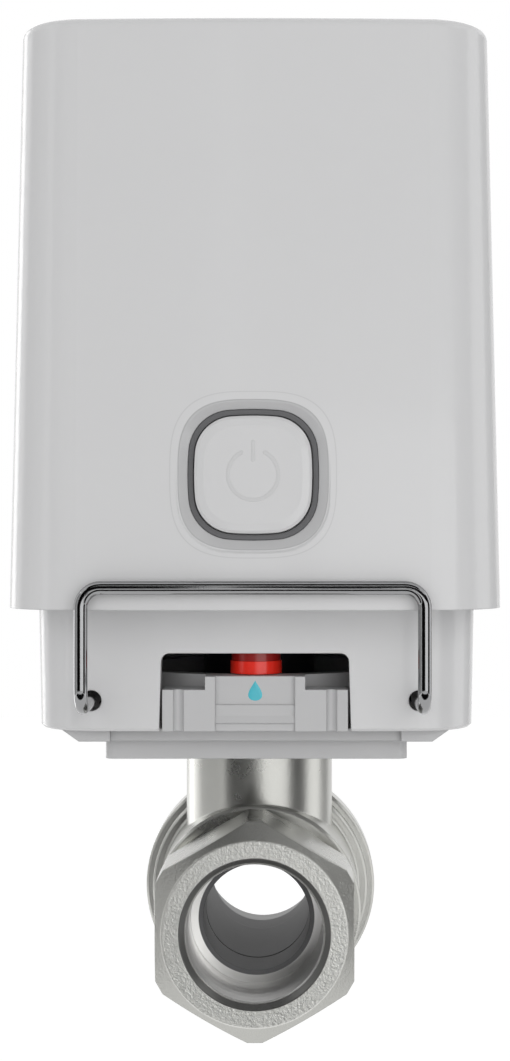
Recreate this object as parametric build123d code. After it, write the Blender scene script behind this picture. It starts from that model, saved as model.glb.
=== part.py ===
from build123d import *
import os
from math import acos, cos, degrees, pi, radians, sin, tan

# A motor-driven half-inch ball valve with a lift-off cover, in millimetres.
# The pipe runs along Y, the button faces -Y and +Z is up.
# The origin is on the pipe axis where the thread of the front port starts.

# Clearances shared by all pieces
running_gap = 0.05
sliding_gap = 0.1
loose_gap = 0.3
seat_gap = 0.02
overrun = 1.0

# Valve in the pipe: half-inch parallel pipe thread, 27 mm spanner flats
valve_length = 55.0
thread_radius = 9.3155
thread_depth = 9.9
mouth_radius = 10.24
mouth_depth = 0.9
front_port_radius = 7.5
rear_port_radius = 7.95
hex_flats = 27.0
hex_corners = 30.0
hex_length = 13.6
hex_face_radius = 12.55
hex_chamfer_slope = radians(30)
collar_radius = 13.5
collar_length = 1.9
barrel_radius = 14.9
barrel_edge = 0.4
first_ring_radius = 16.4
second_ring_radius = 17.5
first_ring_offset = 4.1
ring_width = 1.5
second_ring_width = 5.4
rear_neck_radius = 12.9
rear_neck_length = 1.6

# Ball, seats and stem
ball_radius = 11.8
cavity_radius = 12.4
spigot_radius = 13.2
spigot_length = 4.6
spigot_gap = 0.03
seat_outer_radius = 11.0
seat_bore_radius = 7.6
seat_depth = 3.7
seat_back = 2.2
seat_ball_gap = 0.12
stem_radius = 4.0
stem_foot_radius = 5.6
stem_foot_height = 1.5
stem_tang_width = 4.0
stem_tang_length = 9.0
tang_floor_z = 9.3
washer_height = 1.0
stem_square = 5.5
stem_square_height = 6.8
stem_ring_section = 0.48
stem_ring_groove = 1.1
stem_ring_levels = (17.6, 21.0)
neck_radius = 10.9
connector_seal_section = 0.9

# Clamp of the bracket on the neck of the valve
neck_shoulder_z = 22.5
neck_thread_radius = 9.8
nut_radius = 13.2
nut_height = 3.4
nut_slots = 6
nut_slot_width = 2.6
nut_slot_depth = 1.3
neck_stub_rise = 0.5

# Bracket between the valve and the drive
clamp_plate_height = 2.8
clamp_half_width = 21.15
clamp_half_depth = 18.3
clamp_corner = 1.2
tray_height = 1.7
tray_side_inset = 4.2
tray_bevel = 2.4
tray_front_inset = 3.1
tray_back_inset = 3.1
tray_recess_half_width = 20.1
tray_recess_depth = 1.0
bracket_wall_radius = 19.4
bracket_wall = 2.4
bracket_wall_height = 7.3
ear_width = 4.6
ear_length = 11.0
ear_height = 6.6
ear_spread = 25.0
lug_face_inset = 0.5
lug_body_half_width = 9.75
lug_body_height = 5.7
lug_post_half_width = 6.85
lug_post_width = 1.4
lug_panel_depth = 0.7
lug_height = 7.5
lug_ledge_heights = (3.6, 2.1, 1.1)
lug_ledge_shares = (0.67, 0.14, 0.64)
lug_groove_radius = 0.72
lug_cheek_width = 1.5
lug_cheek_height = 5.7
lug_thickness = 2.6

# Lower housing of the drive
base_side_inset = 2.95
base_rear_inset = 3.0
base_bulge = 0.7
base_corner = 8.6
base_height = 17.5
base_draft = 0.35
base_wall = 2.2
base_front_inset = 9.5
base_edge = 0.35
base_rib_width = 1.6
base_rib_depth = 2.9
base_rib_places = (-18.5, -6.0, 9.0, 19.0)
deck_height = 2.5
rim_inset = 1.6
rim_wall = 1.0
rim_height = 3.0
window_half_width = 12.8
window_flare = 0.35
window_height = 10.7
window_corner = 1.2
wire_hole_radius = 1.42
side_hole_radius = 1.05
side_hole_depth = 1.1
side_hole_offset = 8.4

# Cover that lifts off
cover_half_width = 33.95
cover_half_depth = 34.3
cover_bulge = 0.9
cover_corner = 10.6
cover_height = 78.3
cover_draft = 1.75
cover_wall = 2.0
cover_edge = 1.1
cover_edge_steps = 4
cover_base_overlap = 0.5
cover_rib_width = 1.2
cover_rib_depth = 0.9
cover_rib_height = 60.0
cover_rib_spread = 14.0

# Button in the cover
button_rise = 17.8
button_bulge_share = 0.045
button_corner_share = 0.33
bezel_rim_size = 22.05
bezel_size = 20.15
bezel_throat_size = 17.3
bezel_rim_depth = 0.14
bezel_depth = 0.75
ring_lip = 0.12
ring_light_gap = 0.06
ring_light_bore = 15.86
ring_flange_size = 20.2
ring_flange = 0.8
ring_tail = 0.5
cap_size = 15.5
cap_bevel_size = 13.0
cap_bevel = 0.35
cap_proud = 0.12
cap_flange_size = 17.4
cap_flange = 0.8
plunger_radius = 1.9
button_travel = 0.5
retainer_size = 22.0
retainer_plate = 1.2
retainer_corner = 3.0
retainer_gap = 0.6
retainer_post_radius = 1.0

# Wire lock
wire_radius = 0.9
wire_side_inset = 8.6
wire_bend = 2.6
wire_foot_z = 31.2
wire_top_rise = 3.0
wire_length = 50.5
wire_cover_gap = 0.32

# Drive shaft and indicator
shaft_radius = 7.0
coupling_radius = 8.2
coupling_gap = 0.6
journal_radius = 3.0
key_radius = 4.5
key_flat = 3.6
bush_wall = 1.4
indicator_thickness = 1.8
indicator_lift = 0.9
marker_gap = 0.4
marker_radius = 3.6
marker_upper_radius = 3.42
marker_inset = 0.8
marker_rim = 1.8
marker_peg_radius = 1.6

# Gear train: three pairs of spur gears
tooth_pressure = radians(25)
output_teeth = 36
output_module = 0.8
second_teeth = 36
second_module = 0.6
first_teeth = 36
first_module = 0.5
pinion_teeth = 12
tip_share = 0.85
pinion_tip_share = 1.0
root_share = 1.3
tooth_backlash = 0.1
second_gear_bearing = radians(56)
first_gear_bearing = radians(178)
motor_bearing = radians(200)
output_face = 5.0
second_face = 3.0
first_face = 2.5
gear_lift = 0.6
gear_space = 0.8
axle_radius = 1.0
axle_collar = 0.5
gear_hub_share = 0.55
gear_web_share = 0.5
cam_radius = 6.6
cam_notch_radius = 5.2
cam_thickness = 1.6
cam_notch_angle = 80

# Gearbox case
case_side_inset = 5.15
case_rear_inset = 5.2
case_bulge = 0.9
case_corner = 9.0
case_wall = 1.4
case_floor = 1.4
lid_thickness = 2.0
case_screw_radius = 1.2
case_screw_head_radius = 2.2
case_screw_head = 1.4
case_screw_length = 9.0
case_boss_radius = 2.9
case_screw_shares = ((0.833, -0.464), (-0.833, -0.464), (0.833, 0.069), (-0.781, 0.756))
switch_width = 6.0
switch_depth = 3.2
switch_height = 5.0
switch_gap = 0.5
switch_bearings = (radians(225), radians(315))

# Motor
motor_radius = 10.0
motor_flat = 7.8
motor_length = 16.5
motor_boss_radius = 3.0
motor_boss = 1.2
motor_cap = 2.0
motor_shaft_radius = 1.0
terminal_width = 2.0
terminal_thickness = 0.5
terminal_height = 1.0
terminal_spread = 6.0

# Circuit board
board_side_inset = 9.95
board_height = 31.0
board_thickness = 1.6
board_lift = 3.0
board_front_gap = 10.0
board_case_gap = 3.2
board_post_radius = 2.4
board_post_shares = ((-0.833, 0.194), (0.833, 0.194))
board_screw_radius = 1.1
board_screw_head_radius = 2.1
board_screw_head = 1.3
board_screw_bite = 3.0
tact_width = 6.2
tact_depth = 3.4
tact_cap_radius = 1.75
press_spare = 0.12
chip_places = ((-12.0, 21.0, 5.0, 5.0), (12.0, 22.0, 7.0, 7.0), (13.0, 9.0, 4.0, 6.0))
chip_height = 1.0
light_places = ((-6.2, -6.2), (6.2, -6.2), (-6.2, 6.2), (6.2, 6.2))
light_width = 1.6
light_depth = 1.4
antenna_width = 0.9
antenna_thickness = 0.5
antenna_steps = 4
antenna_pitch = 3.6
antenna_reach = 4.5
antenna_left = -22.0
antenna_lift = 25.5

# Batteries and their holder
cell_radius = 8.5
cell_length = 34.5
cell_nub_radius = 3.2
cell_nub = 0.8
cell_space = 0.5
cell_lift = 0.5
holder_floor = 1.4
holder_end = 2.0
holder_end_gap = 3.3
holder_web = 1.0
holder_leg = 4.0
holder_leg_shares = ((-0.625, -0.515), (0.625, -0.515), (0.694, 0.515), (-0.59, 0.818))
holder_top_gap = 2.2
cradle_width = 3.0
cradle_offset = 12.0
contact_width = 7.0
contact_thickness = 0.4
contact_height = 11.0
contact_bow = 2.2

# Seals
cover_seal_height = 1.6
cover_seal_width = 1.2
base_seal_height = 0.8
base_seal_width = 1.6

# Curve sampling
flank_points = 3

# Sizes that follow the cover
base_half_width = cover_half_width - base_side_inset
base_half_depth = cover_half_depth - (base_front_inset + base_rear_inset) / 2
tray_half_width = base_half_width - tray_side_inset
case_half_width = cover_half_width - case_side_inset
case_half_depth = cover_half_depth - case_rear_inset
board_half_width = cover_half_width - board_side_inset
wire_half_spread = base_half_width - wire_side_inset
case_screw_places = [(x * case_half_width, y * case_half_depth) for x, y in case_screw_shares]
holder_leg_places = [(x * case_half_width, y * case_half_depth) for x, y in holder_leg_shares]
board_post_places = [(x * board_half_width, z * board_height) for x, z in board_post_shares]

# Plans as half width, half depth, bow of the sides and corner radius
base_plan = (base_half_width, base_half_depth, base_bulge, base_corner)
cover_plan = (cover_half_width, cover_half_depth, cover_bulge, cover_corner)
case_plan = (case_half_width, case_half_depth, case_bulge, case_corner)

# Places along the pipe
front_face_y = -mouth_depth
rear_face_y = front_face_y + valve_length
stem_y = front_face_y + valve_length / 2
collar_y = front_face_y + hex_length
body_front_y = collar_y + collar_length
spigot_end_y = body_front_y + spigot_length
front_seat_y = spigot_end_y - seat_back
rear_hex_y = rear_face_y - hex_length
rear_seat_y = 2 * stem_y - front_seat_y
first_ring_y = stem_y + first_ring_offset
second_ring_y = first_ring_y + ring_width
ring_end_y = second_ring_y + second_ring_width

# Heights
clamp_z = neck_shoulder_z
tray_z = clamp_z + clamp_plate_height
base_z = tray_z + tray_height
nut_z = base_z
neck_top_z = nut_z + nut_height - neck_stub_rise
stem_top_z = nut_z + nut_height + coupling_gap + stem_square_height
wall_top_z = base_z + bracket_wall_height
deck_z = base_z + base_height
deck_top_z = deck_z + deck_height
cover_z = deck_z - cover_base_overlap
cover_top_z = cover_z + cover_height
window_top_z = base_z + window_height
marker_z = wall_top_z + loose_gap
indicator_z = window_top_z + indicator_lift
case_floor_z = deck_top_z
output_gear_z = case_floor_z + case_floor + gear_lift
second_gear_z = output_gear_z + output_face + gear_space
first_gear_z = second_gear_z + second_face + gear_space
lid_z = first_gear_z + first_face + gear_space
lid_top_z = lid_z + lid_thickness
button_z = cover_z + button_rise
holder_z = lid_top_z + motor_length + 2 * terminal_height

# Places across the depth
cover_front_y = stem_y - cover_half_depth
base_front_y = cover_front_y + base_front_inset
base_centre_y = base_front_y + base_half_depth
board_front_y = cover_front_y + cover_wall + board_front_gap
case_front_y = board_front_y + board_thickness + board_case_gap
wire_front_y = cover_front_y - wire_cover_gap - wire_radius
marker_front_y = base_front_y + base_wall + marker_gap
marker_y = marker_front_y + marker_radius
indicator_radius = stem_y - marker_front_y - marker_inset


def box(x_range, y_range, z_range):
    size = [high - low for low, high in (x_range, y_range, z_range)]
    middle = [(low + high) / 2 for low, high in (x_range, y_range, z_range)]
    return Pos(*middle) * Box(*size)


def rod_z(radius, z_range, x=0, y=stem_y):
    return Pos(x, y, sum(z_range) / 2) * Cylinder(radius, z_range[1] - z_range[0])


def rod_y(radius, y_range, x=0, z=0):
    length = y_range[1] - y_range[0]
    return Pos(x, sum(y_range) / 2, z) * Rot(90, 0, 0) * Cylinder(radius, length)


def rod_x(radius, x_range, y, z):
    length = x_range[1] - x_range[0]
    return Pos(sum(x_range) / 2, y, z) * Rot(0, 90, 0) * Cylinder(radius, length)


def turned(profile):
    """A solid of revolution about the pipe axis from (y, radius) points."""
    outline = Polyline([(radius, y) for y, radius in profile], close=True)
    return revolve(make_face(outline), Axis.Y)


def turned_z(profile, x=0, y=stem_y):
    """A solid of revolution about an upright axis from (radius, z) points."""
    outline = Plane.XZ * Polyline(profile, close=True)
    return Pos(x, y, 0) * revolve(make_face(outline), Axis.Z)


def pillow(half_width, half_depth, bulge, corner):
    """A rectangle with bowed sides and round corners."""
    x = half_width - bulge
    y = half_depth - bulge
    face = make_face([
        ThreePointArc((-x, -y), (0, -half_depth), (x, -y)),
        ThreePointArc((x, -y), (half_width, 0), (x, y)),
        ThreePointArc((x, y), (0, half_depth), (-x, y)),
        ThreePointArc((-x, y), (-half_width, 0), (-x, -y)),
    ])
    return fillet(face.vertices(), corner)


def plan_stack(levels, plan, centre_y):
    """A solid through plans of one shape, each level given as (z, inset)."""
    half_width, half_depth, bulge, corner = plan
    wires = []
    for z, inset in levels:
        outline = pillow(half_width - inset, half_depth - inset, bulge, corner - inset)
        wires.append((Pos(0, centre_y, z) * outline).faces()[0].outer_wire())
    return Solid.make_loft(wires, ruled=True)


def button_block(levels):
    """A solid through square-round outlines round the button axis, as (y, size)."""
    wires = []
    for y, size in levels:
        outline = pillow(size / 2, size / 2, button_bulge_share * size, button_corner_share * size)
        plane = Plane(origin=(0, y, button_z), x_dir=(1, 0, 0), z_dir=(0, -1, 0))
        wires.append((plane * outline).faces()[0].outer_wire())
    return Solid.make_loft(wires, ruled=True)


def front_outline(points, y_range):
    """A prism along Y from a polygon of (x, z) points."""
    face = make_face(Plane.XZ * Polyline(points, close=True))
    middle = sum(y_range) / 2
    return Pos(0, middle, 0) * extrude(face, amount=middle - y_range[0], both=True)


def cover_inset(z):
    """How far the cover's draft brings its walls in at a height."""
    return cover_draft * (z - cover_z) / cover_height


def cover_front(z):
    return stem_y - cover_half_depth + cover_inset(z)


def polar(bearing, distance, start=(0, 0)):
    return start[0] + distance * cos(bearing), start[1] + distance * sin(bearing)


# Gear places

def pitch_radius(module, teeth):
    return module * teeth / 2


def gear_distance(module, teeth):
    return pitch_radius(module, teeth) + pitch_radius(module, pinion_teeth)


output_place = (0, stem_y)
second_place = polar(second_gear_bearing, gear_distance(output_module, output_teeth), output_place)
first_place = polar(first_gear_bearing, gear_distance(second_module, second_teeth), second_place)
motor_place = polar(motor_bearing, gear_distance(first_module, first_teeth), first_place)


def tooth_half_angle(radius, module, teeth):
    """Half the angle that an involute tooth takes at a radius."""
    pitch = pitch_radius(module, teeth)
    base = pitch * cos(tooth_pressure)
    pressure = acos(min(1, base / radius))
    at_pitch = pi / (2 * teeth) - tooth_backlash / (2 * pitch)
    return at_pitch + (tan(tooth_pressure) - tooth_pressure) - (tan(pressure) - pressure)


def gear_blank(module, teeth, face, z, place, tooth_bearing, addendum_share):
    """A spur gear with a tooth centred on tooth_bearing."""
    pitch = pitch_radius(module, teeth)
    root = pitch - root_share * module
    tip = pitch + addendum_share * module
    start = max(root, pitch * cos(tooth_pressure))
    flank = []
    for index in range(flank_points):
        radius = start + (tip - start) * index / (flank_points - 1)
        flank.append((radius, tooth_half_angle(radius, module, teeth)))
    if start > root:
        flank.insert(0, (root, flank[0][1]))
    points = []
    for index in range(teeth):
        bearing = tooth_bearing + 2 * pi * index / teeth
        points += [polar(bearing - half, radius) for radius, half in flank]
        points += [polar(bearing + half, radius) for radius, half in reversed(flank)]
    outline = make_face(Polyline(points, close=True))
    return Pos(place[0], place[1], z) * extrude(outline, amount=face)


def wheel(module, teeth, face, z, place, mesh_bearing):
    return gear_blank(module, teeth, face, z, place, mesh_bearing, tip_share)


def pinion(module, face, z, place, mesh_bearing):
    """A pinion with a gap, not a tooth, towards the wheel that it drives."""
    tooth_bearing = mesh_bearing + pi - pi / pinion_teeth
    return gear_blank(module, pinion_teeth, face, z, place, tooth_bearing, pinion_tip_share)


def gear_recess(module, teeth, face, z, place, depth):
    """A ring that thins the web of a wheel from above."""
    rim = pitch_radius(module, teeth) - 2 * root_share * module
    hub = rim * gear_hub_share
    ring = rod_z(rim, (z + face - depth, z + face + overrun), *place)
    return ring - rod_z(hub, (z - overrun, z + face + 2 * overrun), *place)


# Valve

def hex_bar(y_range):
    """Spanner flats with narrow flats on the corners, both ends chamfered."""
    start, end = y_range
    flats = Plane.XZ * RegularPolygon(hex_flats / 2, 6, major_radius=False, rotation=30)
    corners = Plane.XZ * RegularPolygon(hex_corners / 2, 6, major_radius=False)
    bar = extrude(flats, amount=start - end) & extrude(corners, amount=start - end)
    slope = (hex_corners - hex_face_radius) * tan(hex_chamfer_slope)
    cone = turned([
        (start, 0),
        (start, hex_face_radius),
        (start + slope, hex_corners),
        (end - slope, hex_corners),
        (end, hex_face_radius),
        (end, 0),
    ])
    return (Pos(0, start, 0) * bar) & cone


def port_thread(face_y, inward):
    """The threaded socket and its chamfered mouth, inward is 1 or -1 along Y."""
    return turned([
        (face_y - inward * overrun, 0),
        (face_y - inward * overrun, mouth_radius),
        (face_y, mouth_radius),
        (face_y + inward * mouth_depth, thread_radius),
        (face_y + inward * (mouth_depth + thread_depth), thread_radius),
        (face_y + inward * (mouth_depth + thread_depth), 0),
    ])


def make_valve_body():
    barrel = turned([
        (body_front_y, 0),
        (body_front_y, barrel_radius - barrel_edge),
        (body_front_y + barrel_edge, barrel_radius),
        (first_ring_y - barrel_edge, barrel_radius),
        (first_ring_y, barrel_radius + barrel_edge),
        (first_ring_y, first_ring_radius - barrel_edge),
        (first_ring_y + barrel_edge, first_ring_radius),
        (second_ring_y, first_ring_radius),
        (second_ring_y, second_ring_radius - barrel_edge),
        (second_ring_y + barrel_edge, second_ring_radius),
        (ring_end_y - barrel_edge, second_ring_radius),
        (ring_end_y, second_ring_radius - barrel_edge),
        (rear_hex_y - rear_neck_length, rear_neck_radius),
        (rear_hex_y + overrun, rear_neck_radius),
        (rear_hex_y + overrun, 0),
    ])
    neck = rod_z(neck_radius, (0, neck_shoulder_z))
    stub = rod_z(neck_thread_radius, (0, neck_top_z))
    body = barrel + neck + stub + hex_bar((rear_hex_y, rear_face_y))
    inside = turned([
        (body_front_y - overrun, 0),
        (body_front_y - overrun, spigot_radius),
        (spigot_end_y + connector_seal_section * 2, spigot_radius),
        (spigot_end_y + connector_seal_section * 2, cavity_radius),
        (rear_seat_y - seat_depth, cavity_radius),
        (rear_seat_y - seat_depth, seat_outer_radius + spigot_gap),
        (rear_seat_y, seat_outer_radius + spigot_gap),
        (rear_seat_y, rear_port_radius),
        (rear_face_y - thread_depth, rear_port_radius),
        (rear_face_y - thread_depth, 0),
    ])
    washer_top = foot_z() + stem_foot_height + washer_height + seat_gap
    foot_pocket = rod_z(stem_foot_radius + sliding_gap, (0, washer_top))
    stem_bore = rod_z(stem_radius + running_gap, (0, neck_top_z + overrun))
    return body - inside - port_thread(rear_face_y, -1) - foot_pocket - stem_bore


def foot_z():
    """Underside of the foot that keeps the stem in the valve."""
    return ball_radius + seat_gap


def make_end_connector():
    hexagon = hex_bar((front_face_y, collar_y))
    collar = rod_y(collar_radius, (collar_y - overrun, body_front_y))
    spigot = rod_y(spigot_radius - spigot_gap, (body_front_y - overrun, spigot_end_y))
    bore = rod_y(front_port_radius, (front_face_y, spigot_end_y + overrun))
    pocket = rod_y(seat_outer_radius + spigot_gap, (front_seat_y, spigot_end_y + overrun))
    return hexagon + collar + spigot - bore - pocket - port_thread(front_face_y, 1)


def make_seat(back_y, towards):
    """A seat ring hollowed to the ball, towards is 1 or -1 along Y."""
    ring = turned([
        (back_y, seat_bore_radius),
        (back_y, seat_outer_radius),
        (back_y + towards * seat_depth, seat_outer_radius),
        (back_y + towards * seat_depth, seat_bore_radius),
    ])
    return ring - Pos(0, stem_y, 0) * Sphere(ball_radius + seat_ball_gap)


def make_ball():
    ball = Pos(0, stem_y, 0) * Sphere(ball_radius)
    passage = rod_y(front_port_radius, (stem_y - 2 * ball_radius, stem_y + 2 * ball_radius))
    half_slot = stem_tang_width / 2 + sliding_gap
    slot_z = (tang_floor_z - sliding_gap, ball_radius + overrun)
    slot = box((-half_slot, half_slot), (stem_y - ball_radius, stem_y + ball_radius), slot_z)
    return ball - passage - slot


def make_stem():
    foot_top = foot_z() + stem_foot_height
    shaft = turned_z([
        (0, foot_z()),
        (stem_foot_radius, foot_z()),
        (stem_foot_radius, foot_top),
        (stem_radius, foot_top),
        (stem_radius, stem_top_z),
        (0, stem_top_z),
    ])
    for level in stem_ring_levels:
        half = stem_ring_groove / 2
        collar = rod_z(stem_radius + overrun, (level - half, level + half))
        floor = stem_radius - 2 * stem_ring_section - seat_gap
        shaft -= collar - rod_z(floor, (level - 2 * half, level + 2 * half))
    half_width = stem_tang_width / 2
    half_length = stem_tang_length / 2
    tang_y = (stem_y - half_length, stem_y + half_length)
    tang = box((-half_width, half_width), tang_y, (tang_floor_z, foot_z() + overrun))
    square_z = stem_top_z - stem_square_height
    half = stem_square / 2
    square = box((-half, half), (stem_y - half, stem_y + half), (square_z, stem_top_z))
    round_end = rod_z(stem_radius + overrun, (square_z, stem_top_z + overrun))
    return shaft + tang - (round_end - square)


def make_stem_rings():
    major = stem_radius - stem_ring_section
    return [Pos(0, stem_y, level) * Torus(major, stem_ring_section) for level in stem_ring_levels]


def make_stem_washer():
    base = foot_z() + stem_foot_height
    ring = rod_z(stem_foot_radius, (base, base + washer_height))
    return ring - rod_z(stem_radius + running_gap, (base - overrun, base + 2 * washer_height + overrun))


def make_connector_seal():
    outer = spigot_radius - spigot_gap
    start = spigot_end_y + spigot_gap
    end = spigot_end_y + connector_seal_section * 2 - spigot_gap
    inner = cavity_radius - connector_seal_section / 2
    return turned([(start, inner), (start, outer), (end, outer), (end, inner)])


def make_neck_nut():
    nut = rod_z(nut_radius, (nut_z, nut_z + nut_height))
    nut -= rod_z(neck_thread_radius + spigot_gap, (nut_z - overrun, nut_z + nut_height + overrun))
    for index in range(nut_slots):
        bearing = 2 * pi * index / nut_slots
        x, y = polar(bearing, nut_radius, output_place)
        slot = Box(2 * nut_slot_depth, nut_slot_width, nut_height * 2)
        nut -= Pos(x, y, nut_z + nut_height) * Rot(0, 0, degrees(bearing)) * slot
    return nut


# Bracket

def tray_solid():
    front = base_front_y + tray_front_inset
    back = base_front_y + 2 * base_half_depth - tray_back_inset
    middle = (front + back) / 2
    top = Pos(0, middle, base_z) * Rectangle(2 * tray_half_width, back - front)
    low_width = 2 * (tray_half_width - tray_bevel)
    bottom = Pos(0, middle, tray_z) * Rectangle(low_width, back - front)
    tray = loft([bottom, top])
    recess_x = (-tray_recess_half_width, tray_recess_half_width)
    recess_y = (front - overrun, front + tray_recess_depth)
    return tray - box(recess_x, recess_y, (tray_z - overrun, base_z + overrun))


def lug_ledges(face):
    """The stepped recess in the tongue's front, as a prism across it."""
    inner = lug_post_half_width - lug_post_width
    ledge, lip, foot = [face + share * lug_panel_depth for share in lug_ledge_shares]
    panel_end, ledge_end, lip_z = [base_z + height for height in lug_ledge_heights]
    top = base_z + lug_height + overrun
    points = [
        (face - overrun, top),
        (face + lug_panel_depth, top),
        (face + lug_panel_depth, panel_end),
        (ledge, panel_end),
        (ledge, ledge_end),
        (lip, lip_z),
        (foot, lip_z),
        (foot, base_z - overrun),
        (face - overrun, base_z - overrun),
    ]
    outline = make_face(Plane.YZ * Polyline(points, close=True))
    return extrude(outline, amount=inner, both=True)


def lug_solid():
    """The tongue that stands in the window and carries the sign."""
    face = base_front_y + lug_face_inset
    back = base_front_y + tray_front_inset + lug_thickness
    low = (base_z, base_z + lug_body_height)
    body = box((-lug_body_half_width, lug_body_half_width), (face, back), low)
    body += box((-lug_post_half_width, lug_post_half_width), (face, back), (base_z, base_z + lug_height))
    return body - lug_ledges(face)


def lug_cheeks():
    face = base_front_y + lug_face_inset
    back = base_front_y + tray_front_inset + lug_thickness
    cheeks = []
    for side in (-1, 1):
        near = side * lug_body_half_width
        far = side * (lug_body_half_width + 2 * lug_groove_radius + lug_cheek_width)
        wide = sorted((near, far))
        block = box(wide, (face, back), (base_z, base_z + lug_cheek_height))
        groove_x = side * (lug_body_half_width + lug_groove_radius)
        groove_z = (base_z - overrun, base_z + lug_cheek_height + overrun)
        block -= rod_z(lug_groove_radius, groove_z, groove_x, face)
        cheeks.append(block)
    return cheeks


def make_valve_bracket():
    plate = Pos(0, stem_y, clamp_z) * extrude(
        RectangleRounded(2 * clamp_half_width, 2 * clamp_half_depth, clamp_corner),
        amount=clamp_plate_height + tray_height / 2)
    bracket = plate + tray_solid() + lug_solid()
    for cheek in lug_cheeks():
        bracket += cheek
    ring = rod_z(bracket_wall_radius, (tray_z, wall_top_z))
    inside = rod_z(bracket_wall_radius - bracket_wall, (base_z, wall_top_z + overrun))
    bracket = bracket + ring - inside
    for side in (-1, 1):
        centre = side * wire_half_spread
        ear_x = (centre - ear_width / 2, centre + ear_width / 2)
        for spread in (-ear_spread / 2, ear_spread / 2):
            middle = stem_y + spread
            ear_y = (middle - ear_length / 2, middle + ear_length / 2)
            bracket += box(ear_x, ear_y, (tray_z, base_z + ear_height))
        reach = (stem_y - ear_spread - ear_length, stem_y + ear_spread + ear_length)
        bracket -= rod_y(wire_radius + sliding_gap, reach, centre, wire_foot_z)
    hole = rod_z(neck_thread_radius + spigot_gap, (clamp_z - overrun, base_z + overrun))
    return bracket - hole


# Lower housing

def base_inset(z):
    """How far the draft brings the side walls in at a height."""
    return base_draft * (deck_z - z) / base_height


def base_level(z, inset=0):
    return z, base_inset(z) + inset


def deck_inset():
    """Inset of the deck from the cover's widest plan."""
    return cover_inset(deck_z) + cover_wall + loose_gap


def window_cut():
    low = window_half_width + window_flare
    outline = [
        (-low, base_z - overrun),
        (low, base_z - overrun),
        (window_half_width, window_top_z),
        (-window_half_width, window_top_z),
    ]
    cut = front_outline(outline, (base_front_y - overrun, base_front_y + 2 * base_wall))
    upper = cut.edges().filter_by(Axis.Y).group_by(Axis.Z)[-1]
    return fillet(upper, window_corner)


def base_ribs():
    """Ribs inside the side walls whose feet stand on the bracket's tray."""
    ribs = []
    for side in (-1, 1):
        wall = base_half_width - base_bulge - base_inset(base_z) - base_wall
        rib_x = sorted((side * (wall - base_rib_depth), side * (wall + base_wall / 2)))
        for place in base_rib_places:
            y = stem_y + place
            rib_y = (y - base_rib_width / 2, y + base_rib_width / 2)
            ribs.append(box(rib_x, rib_y, (base_z + seat_gap, deck_z + deck_height / 2)))
    return ribs


def make_base_housing():
    shell = plan_stack([
        base_level(base_z, base_edge),
        base_level(base_z + base_edge),
        base_level(deck_z + deck_height / 2),
    ], base_plan, base_centre_y)
    deck = plan_stack([(z, deck_inset()) for z in (deck_z, deck_top_z)], cover_plan, stem_y)
    hollow = plan_stack([
        base_level(base_z - overrun, base_wall),
        base_level(deck_z, base_wall),
    ], base_plan, base_centre_y)
    housing = shell + deck - hollow - window_cut()
    for rib in base_ribs():
        housing += rib
    outside = deck_inset() + rim_inset
    inside = outside + rim_wall
    rim = plan_stack([(z, outside) for z in (deck_top_z - deck_height / 2, deck_top_z + rim_height)],
                     cover_plan, stem_y)
    rim -= plan_stack([(z, inside) for z in (deck_z, deck_top_z + rim_height + overrun)], cover_plan, stem_y)
    housing += rim
    housing -= rod_z(shaft_radius + running_gap + bush_wall + spigot_gap, (base_z, lid_z))
    for side in (-1, 1):
        hole_y = (base_front_y - overrun, base_front_y + 3 * base_wall)
        housing -= rod_y(wire_hole_radius, hole_y, side * wire_half_spread, wire_foot_z)
        outside = base_half_width - base_inset(wire_foot_z)
        hole_x = sorted((side * (outside - side_hole_depth), side * (outside + overrun)))
        hole = rod_x(side_hole_radius, hole_x, base_front_y + side_hole_offset, wire_foot_z)
        housing -= hole
    for x, y in case_screw_places:
        screw_hole_z = (deck_z - overrun, deck_top_z + overrun)
        housing -= rod_z(case_screw_radius + seat_gap, screw_hole_z, x, stem_y + y)
    return housing


def make_output_bush():
    bore = shaft_radius + running_gap
    outer = bore + bush_wall
    flange_top = deck_top_z + case_floor
    return turned_z([
        (bore, deck_z),
        (outer, deck_z),
        (outer, flange_top),
        (bore, flange_top),
    ])


# Cover and button

def cover_level(z, inset=0):
    return z, cover_inset(z) + inset


def make_outer_cover():
    levels = [cover_level(cover_z), cover_level(cover_top_z - cover_edge)]
    for step in range(1, cover_edge_steps + 1):
        angle = pi / 2 * step / cover_edge_steps
        z = cover_top_z - cover_edge * (1 - sin(angle))
        levels.append(cover_level(z, cover_edge * (1 - cos(angle))))
    shell = plan_stack(levels, cover_plan, stem_y)
    hollow = plan_stack([
        cover_level(cover_z - overrun, cover_wall),
        cover_level(cover_top_z - cover_wall, cover_wall),
    ], cover_plan, stem_y)
    cover = shell - hollow
    for side in (-1, 1):
        for spread in (-cover_rib_spread, cover_rib_spread):
            cover += cover_rib(side, spread)
    front = cover_front(button_z)
    rim = button_block([(front - overrun, bezel_rim_size), (front + bezel_rim_depth, bezel_size)])
    dish = button_block([(front, bezel_size), (front + bezel_depth, bezel_throat_size)])
    throat = button_block([(front, bezel_throat_size), (front + cover_wall + overrun, bezel_throat_size)])
    return cover - rim - dish - throat


def cover_rib(side, spread):
    """A rib inside the cover whose foot rests on the seal round the deck."""
    inner = cover_half_width - cover_inset(deck_top_z) - cover_wall
    rib_x = sorted((side * (inner - cover_rib_depth), side * (inner + cover_wall / 4)))
    rib_y = (stem_y + spread - cover_rib_width / 2, stem_y + spread + cover_rib_width / 2)
    foot = deck_top_z + cover_seal_height + running_gap
    return box(rib_x, rib_y, (foot, deck_top_z + cover_rib_height))


def ring_back():
    """Inner face of the cover wall at the top of the light ring's flange."""
    return cover_front(button_z + ring_flange_size / 2) + cover_wall


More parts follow.
